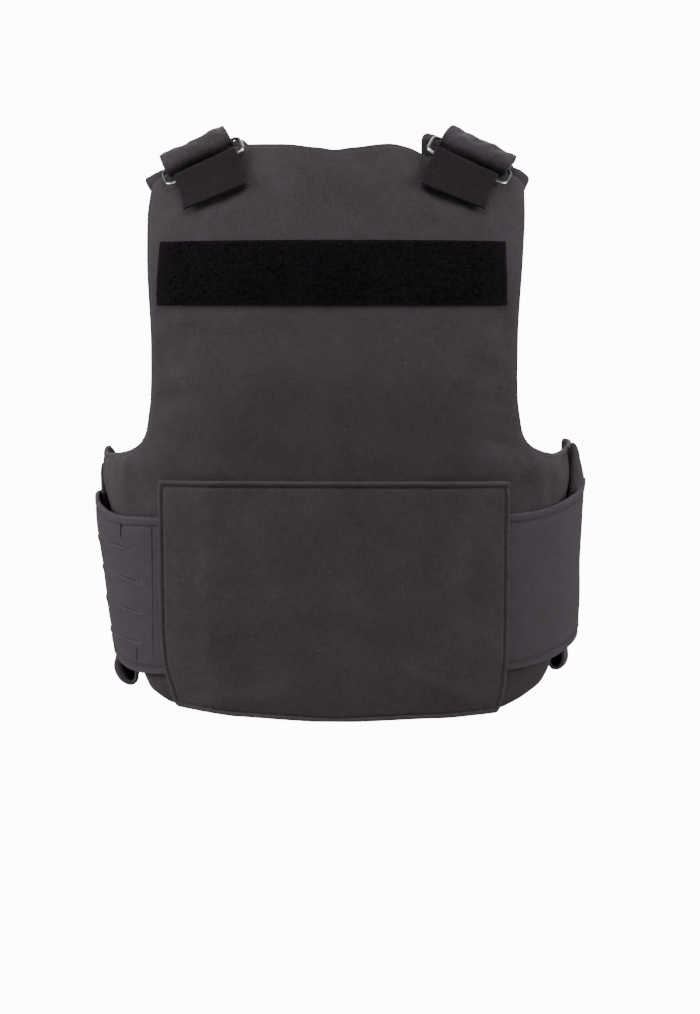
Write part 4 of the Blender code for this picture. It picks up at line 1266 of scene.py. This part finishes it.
def side_fold(name, side, line):
    def place(station, out, above):
        rise = SLEEVE_RISE[side] * blend(station, 0.0, 20.0) * (1.0 - np.minimum(above / 48.0, 1.0))
        along = SLEEVE_BOTTOM[side] + above + rise - YOKE_Z
        middle = np.array([side_middle(level, side) for level in along])
        return on_form(middle + side * station, along, out)

    def relief(across, on, from_side):
        return 0.35 * ripple(across, on, 19.0) * blend(from_side, 1.0, 8.0)

    stations = even_stations(-FRONT_WING_END[side], SLEEVE_END, 5.0)
    # The folds use the lighter cloth, which paints light into their shaded hollows.
    return folded(name, line, stations, place, fold_cloth_painted_light, 0.6, 5.0, relief)


fold_left = side_fold("side_fold_left", -1, SLEEVE_LEFT)
fold_right = side_fold("side_fold_right", 1, SLEEVE_RIGHT)

# The shoulder straps, rings and tabs

# columns: distance behind the crest, height off the carrier
STRAP_ROLL = (
    *((float(behind), 2.4) for behind in range(-84, 37, 12)), (45.0, 2.4), (50.0, 3.4), (52.8, 6.2),
    (53.0, 9.8), (50.4, 12.8), (45.0, 13.9), (36.0, 14.1), (27.0, 13.5), (20.8, 11.7), (17.6, 9.4),
)
# columns: distance behind the crest, height off the carrier, thickness
FRONT_STRAP_LINE = (
    *((*point, STRAP_THICK) for point in STRAP_ROLL),
    (20.0, 7.6, 3.6), (26.0, 7.6, 3.6), (36.0, 8.0, 3.6), (45.6, 8.2, 3.4),
)
BACK_STRAP_LINE = (
    (97.0, 1.5, 2.2), (89.0, 1.5, 2.2), (80.0, 1.5, 2.2), (71.0, 1.2, 2.2), (66.8, 1.6, 2.2),
    (64.6, 3.2, 2.2), (64.2, 5.8, 2.2), (65.8, 8.4, 2.2), (69.6, 9.2, 2.2), (76.0, 7.8, 2.4),
    (84.0, 6.0, 2.6), (91.0, 5.2, 2.8), (93.5, 5.9, 3.6), (94.8, 6.3, 2.6), (105.0, 7.3, 2.3),
    (106.5, 7.4, 1.8),
)
STRAP_ASIDE, RING_ASIDE = 2.2, 0.6 * 2.2  # how far the rolls and the rings sit towards the arms


def front_strap(name, side):
    place = over_shoulder(side)

    def relief(across, on, from_side):
        edge = -0.45 * bell(from_side, 3.6, 1.0)
        creases = 1.7 * ripple(across * 1.5 + 40.0 * side, on * 0.7, 17.0)
        creases = creases + 1.1 * ripple(across * 1.8, on * 0.8 + 9.0 * side, 8.0)
        return edge + creases * blend(from_side, 0.2, 2.0) * blend(on, 104.0, 122.0) + 0.2 * creases

    stations = even_stations(STRAP_ASIDE - STRAP_HALF_WIDTH, STRAP_ASIDE + STRAP_HALF_WIDTH, 2.6)
    return folded(name, FRONT_STRAP_LINE, stations, place, strap_cloth, 0.72, 3.4, relief, under=0.8)


def back_strap(name, side):
    place = over_shoulder(side)

    def relief(across, on, from_side):
        return 0.12 * ripple(across, on, 14.0) - 0.12 * bell(from_side, 1.8, 0.7)

    stations = even_stations(-TAB_HALF_WIDTH, TAB_HALF_WIDTH, 3.0, (0.5, 1.6, 3.0))
    return folded(name, BACK_STRAP_LINE, stations, place, tab_cloth, 0.55, 1.4, relief)


def ring_path():
    """Closed path of the ring's wire: across, behind the middle and which way is out."""
    reach = 0.5 * (RING_FOOT - RING_TOP)
    path = []
    for k, (right, down) in enumerate(((1, 1), (-1, 1), (-1, -1), (1, -1))):
        x, y = right * (RING_HALF_WIDTH - RING_CORNER), down * (reach - RING_CORNER)
        for turn in np.linspace(k * np.pi / 2, (k + 1) * np.pi / 2, 9):
            path.append((x + RING_CORNER * np.cos(turn), y + RING_CORNER * np.sin(turn), turn))
        if k % 2 == 0:
            path += [(-right * a, down * reach, (k + 1) * np.pi / 2) for a in range(-20, 21, 10)]
    return np.array(path)


def shoulder_ring(name, side):
    place = over_shoulder(side)
    path = ring_path()
    angles = np.linspace(0.0, 2 * np.pi, 16, endpoint=False)
    out, up = 0.5 * RING_WIRE * np.cos(angles), 0.5 * RING_WIRE * np.sin(angles)
    across = path[:, 0, None] + RING_ASIDE + out * np.cos(path[:, 2, None])
    behind = path[:, 1, None] + out * np.sin(path[:, 2, None])
    height = RING_LIFT + up[None] - RING_TILT * behind
    points = place(across.ravel(), 0.5 * (RING_TOP + RING_FOOT) + behind.ravel(), height.ravel())
    count, round_it = len(path), len(angles)
    faces = []
    for i in range(count):
        faces += quads_between(i * round_it, (i + 1) % count * round_it, round_it)
    return mesh_object(name, points, faces, ring_steel)


strap_left, strap_right = front_strap("front_strap_left_pad", -1), front_strap("front_strap_right_pad", 1)
ring_left, ring_right = shoulder_ring("ring_left", -1), shoulder_ring("ring_right", 1)
tab_left, tab_right = back_strap("tab_left", -1), back_strap("tab_right", 1)

# columns: distance behind the crest, height off the carrier
TAB_ROWS = ((91.6, 6.75), (104.6, 8.5))


def tab_stitches(name, side):
    """The row of stitches above a tab's hem, and the row along its end."""
    place = over_shoulder(side)
    across = np.linspace(-TAB_HALF_WIDTH + 2.0, TAB_HALF_WIDTH - 2.0, 40)
    rows = [(place(across, np.full(40, behind), np.full(40, height)), False) for behind, height in TAB_ROWS]
    return stitched(name, rows, sewing_thread, 2.6, 2.0, 0.5)


tab_left_stitches = tab_stitches("tab_left_stitches", -1)
tab_right_stitches = tab_stitches("tab_right_stitches", 1)

# What each piece stands for

# columns: piece, what it replaces, its slot
PIECES = (
    (back_carrier, "back_panel", "back_cloth"),
    (back_stitches, None, "back_cloth"),
    (front_carrier, "front_panel", "front_cloth"),
    (front_stitches, None, "front_cloth"),
    (loop_base, "back_loop_strip", "loop_cloth"),
    (pile_loops, None, "loop_cloth"),
    (back_flap, "back_flap", "flap_cloth"),
    (flap_stitches, None, "flap_cloth"),
    (band_left, "cummerbund_left", "band_left_cloth"),
    (band_left_stitches, None, "band_left_cloth"),
    (band_right, "cummerbund_right", "band_right_cloth"),
    (band_right_stitches, None, "band_right_cloth"),
    (fold_left, "side_sleeve_left", "sleeve_cloth"),
    (fold_right, "side_sleeve_right", "sleeve_cloth"),
    (strap_left, "front_strap_left", "strap_cloth"),
    (strap_right, "front_strap_right", "strap_cloth"),
    (ring_left, "shoulder_ring_left", "ring_steel"),
    (ring_right, "shoulder_ring_right", "ring_steel"),
    (tab_left, "back_strap_left", "tab_cloth"),
    (tab_left_stitches, None, "tab_cloth"),
    (tab_right, "back_strap_right", "tab_cloth"),
    (tab_right_stitches, None, "tab_cloth"),
    (bar_tacks, None, "band_left_cloth"),
    (side_row, None, "band_left_cloth"),
)
for piece, node, finish in PIECES:
    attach(piece, "root")
    if node:
        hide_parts(node)

for piece, node, _ in PIECES:
    if node and piece is not loop_base:
        smoothed(piece)


def flat_size(outline):
    """Width, length and area of a flat cut, in metres."""
    size = (outline.max(axis=0) - outline.min(axis=0)) * METRES
    return tuple(float(side) for side in size), float(abs(enclosed(outline))) * METRES ** 2


ON_BACK, ROUND_BOTH = ["back_carrier"], ["back_carrier", "front_carrier"]
# columns: sheet, its flat outline, how it is held, what it rests on, what is sewn to it
SHEETS = (
    (back_flap, flap_outline, "laid", ON_BACK, flap_stitches),
    (loop_base, strip_outline, "laid", ON_BACK, pile_loops),
    (band_left, band_outline(-1, BAND_LEFT), "stretched", ROUND_BOTH, band_left_stitches),
    (band_right, band_outline(1, BAND_RIGHT), "stretched", ROUND_BOTH, band_right_stitches),
)
for piece, outline, held, under, sewn in SHEETS:
    size, area = flat_size(outline)
    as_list(under)

# The stage

BACKDROP_GLOW, SKY_STRENGTH = 12.0, 0.36
paper, _, paper_shader = new_material("backdrop_paper", Roughness=0.9, Specular_IOR_Level=0.1)
paper_shader["Base Color"].default_value = (0.93, 0.93, 0.93, 1.0)
paper_shader["Emission Color"].default_value = (1.0, 1.0, 1.0, 1.0)
paper_shader["Emission Strength"].default_value = BACKDROP_GLOW

# columns: distance from the middle and height of the backdrop's profile, in metres
FLOOR_REACH, BOWL_ROUND, BOWL_TURNS, FLOOR_GAP = 5.0, 3.0, 48, 0.0005
bowl = [(0.0, 0.0)] + [(FLOOR_REACH + BOWL_ROUND * math.sin(a), BOWL_ROUND * (1.0 - math.cos(a)))
                       for a in np.linspace(0.0, math.pi / 2, 13)] + [(FLOOR_REACH + BOWL_ROUND, 6.0)]
floor_z = cad_box[0].z - FLOOR_GAP
turns = np.linspace(0.0, 2 * math.pi, BOWL_TURNS, endpoint=False)
corners = [(reach * math.cos(turn), reach * math.sin(turn), floor_z + height)
           for reach, height in bowl[1:] for turn in turns]
middle = len(corners)
corners.append((0.0, 0.0, floor_z))
ahead = [(k + 1) % BOWL_TURNS for k in range(BOWL_TURNS)]
faces = [(middle, k, ahead[k]) for k in range(BOWL_TURNS)]
faces += [(row + k, row + BOWL_TURNS + k, row + BOWL_TURNS + ahead[k], row + ahead[k])
          for row in range(0, middle - BOWL_TURNS, BOWL_TURNS) for k in range(BOWL_TURNS)]
bowl_mesh = bpy.data.meshes.new("backdrop")
bowl_mesh.from_pydata(corners, [], faces)
bowl_mesh.shade_smooth()
bowl_mesh.materials.append(paper)
backdrop = bpy.data.objects.new("backdrop", bowl_mesh)
backdrop.visible_diffuse = backdrop.visible_glossy = False
bpy.context.scene.collection.objects.link(backdrop)

world = bpy.data.worlds.new("studio")
bpy.context.scene.world = world
world.use_nodes = True
sky = world.node_tree.nodes["Background"].inputs
sky["Color"].default_value, sky["Strength"].default_value = (1.0, 1.0, 1.0, 1.0), SKY_STRENGTH


def soft_light(name, place, aim, size, power):
    """A square area light of that size, aimed at a point."""
    light = bpy.data.lights.new(name, "AREA")
    light.shape, light.size, light.energy = "SQUARE", size, power
    lamp = bpy.data.objects.new(name, light)
    lamp.location = place
    lamp.rotation_euler = (Vector(aim) - Vector(place)).to_track_quat("-Z", "Y").to_euler()
    bpy.context.scene.collection.objects.link(lamp)


# columns: name, place, what it is aimed at, size, power in watts
LIGHTS = (
    ("top", (0.0, -0.9, 1.5), (0.0, 0.0, -0.2), 1.2, 22.0),
    ("left", (-1.9, -0.6, 0.3), (0.0, 0.0, -0.25), 1.0, 41.0),
    ("right", (1.9, -0.6, 0.3), (0.0, 0.0, -0.25), 1.0, 38.0),
    ("front", (0.0, 2.2, 1.0), (0.0, 0.0, -0.25), 1.4, 30.0),
    ("low", (-0.9, -1.7, -1.5), (-0.05, 0.0, -0.4), 1.2, 12.0),
)
for light in LIGHTS:
    soft_light(*light)

camera_data = bpy.data.cameras.new("camera")
camera_data.lens, camera_data.sensor_width = LENS, SENSOR
camera = bpy.data.objects.new("camera", camera_data)
centre = Vector(VIEW_CENTRE) * METRES
level = math.cos(VIEW_RISE)
towards = Vector((math.sin(VIEW_ANGLE) * level, -math.cos(VIEW_ANGLE) * level, math.sin(VIEW_RISE)))
camera.location = centre + towards * VIEW_DISTANCE * METRES
camera.rotation_euler = (-towards).to_track_quat("-Z", "Y").to_euler()
bpy.context.scene.collection.objects.link(camera)
bpy.context.scene.camera = camera
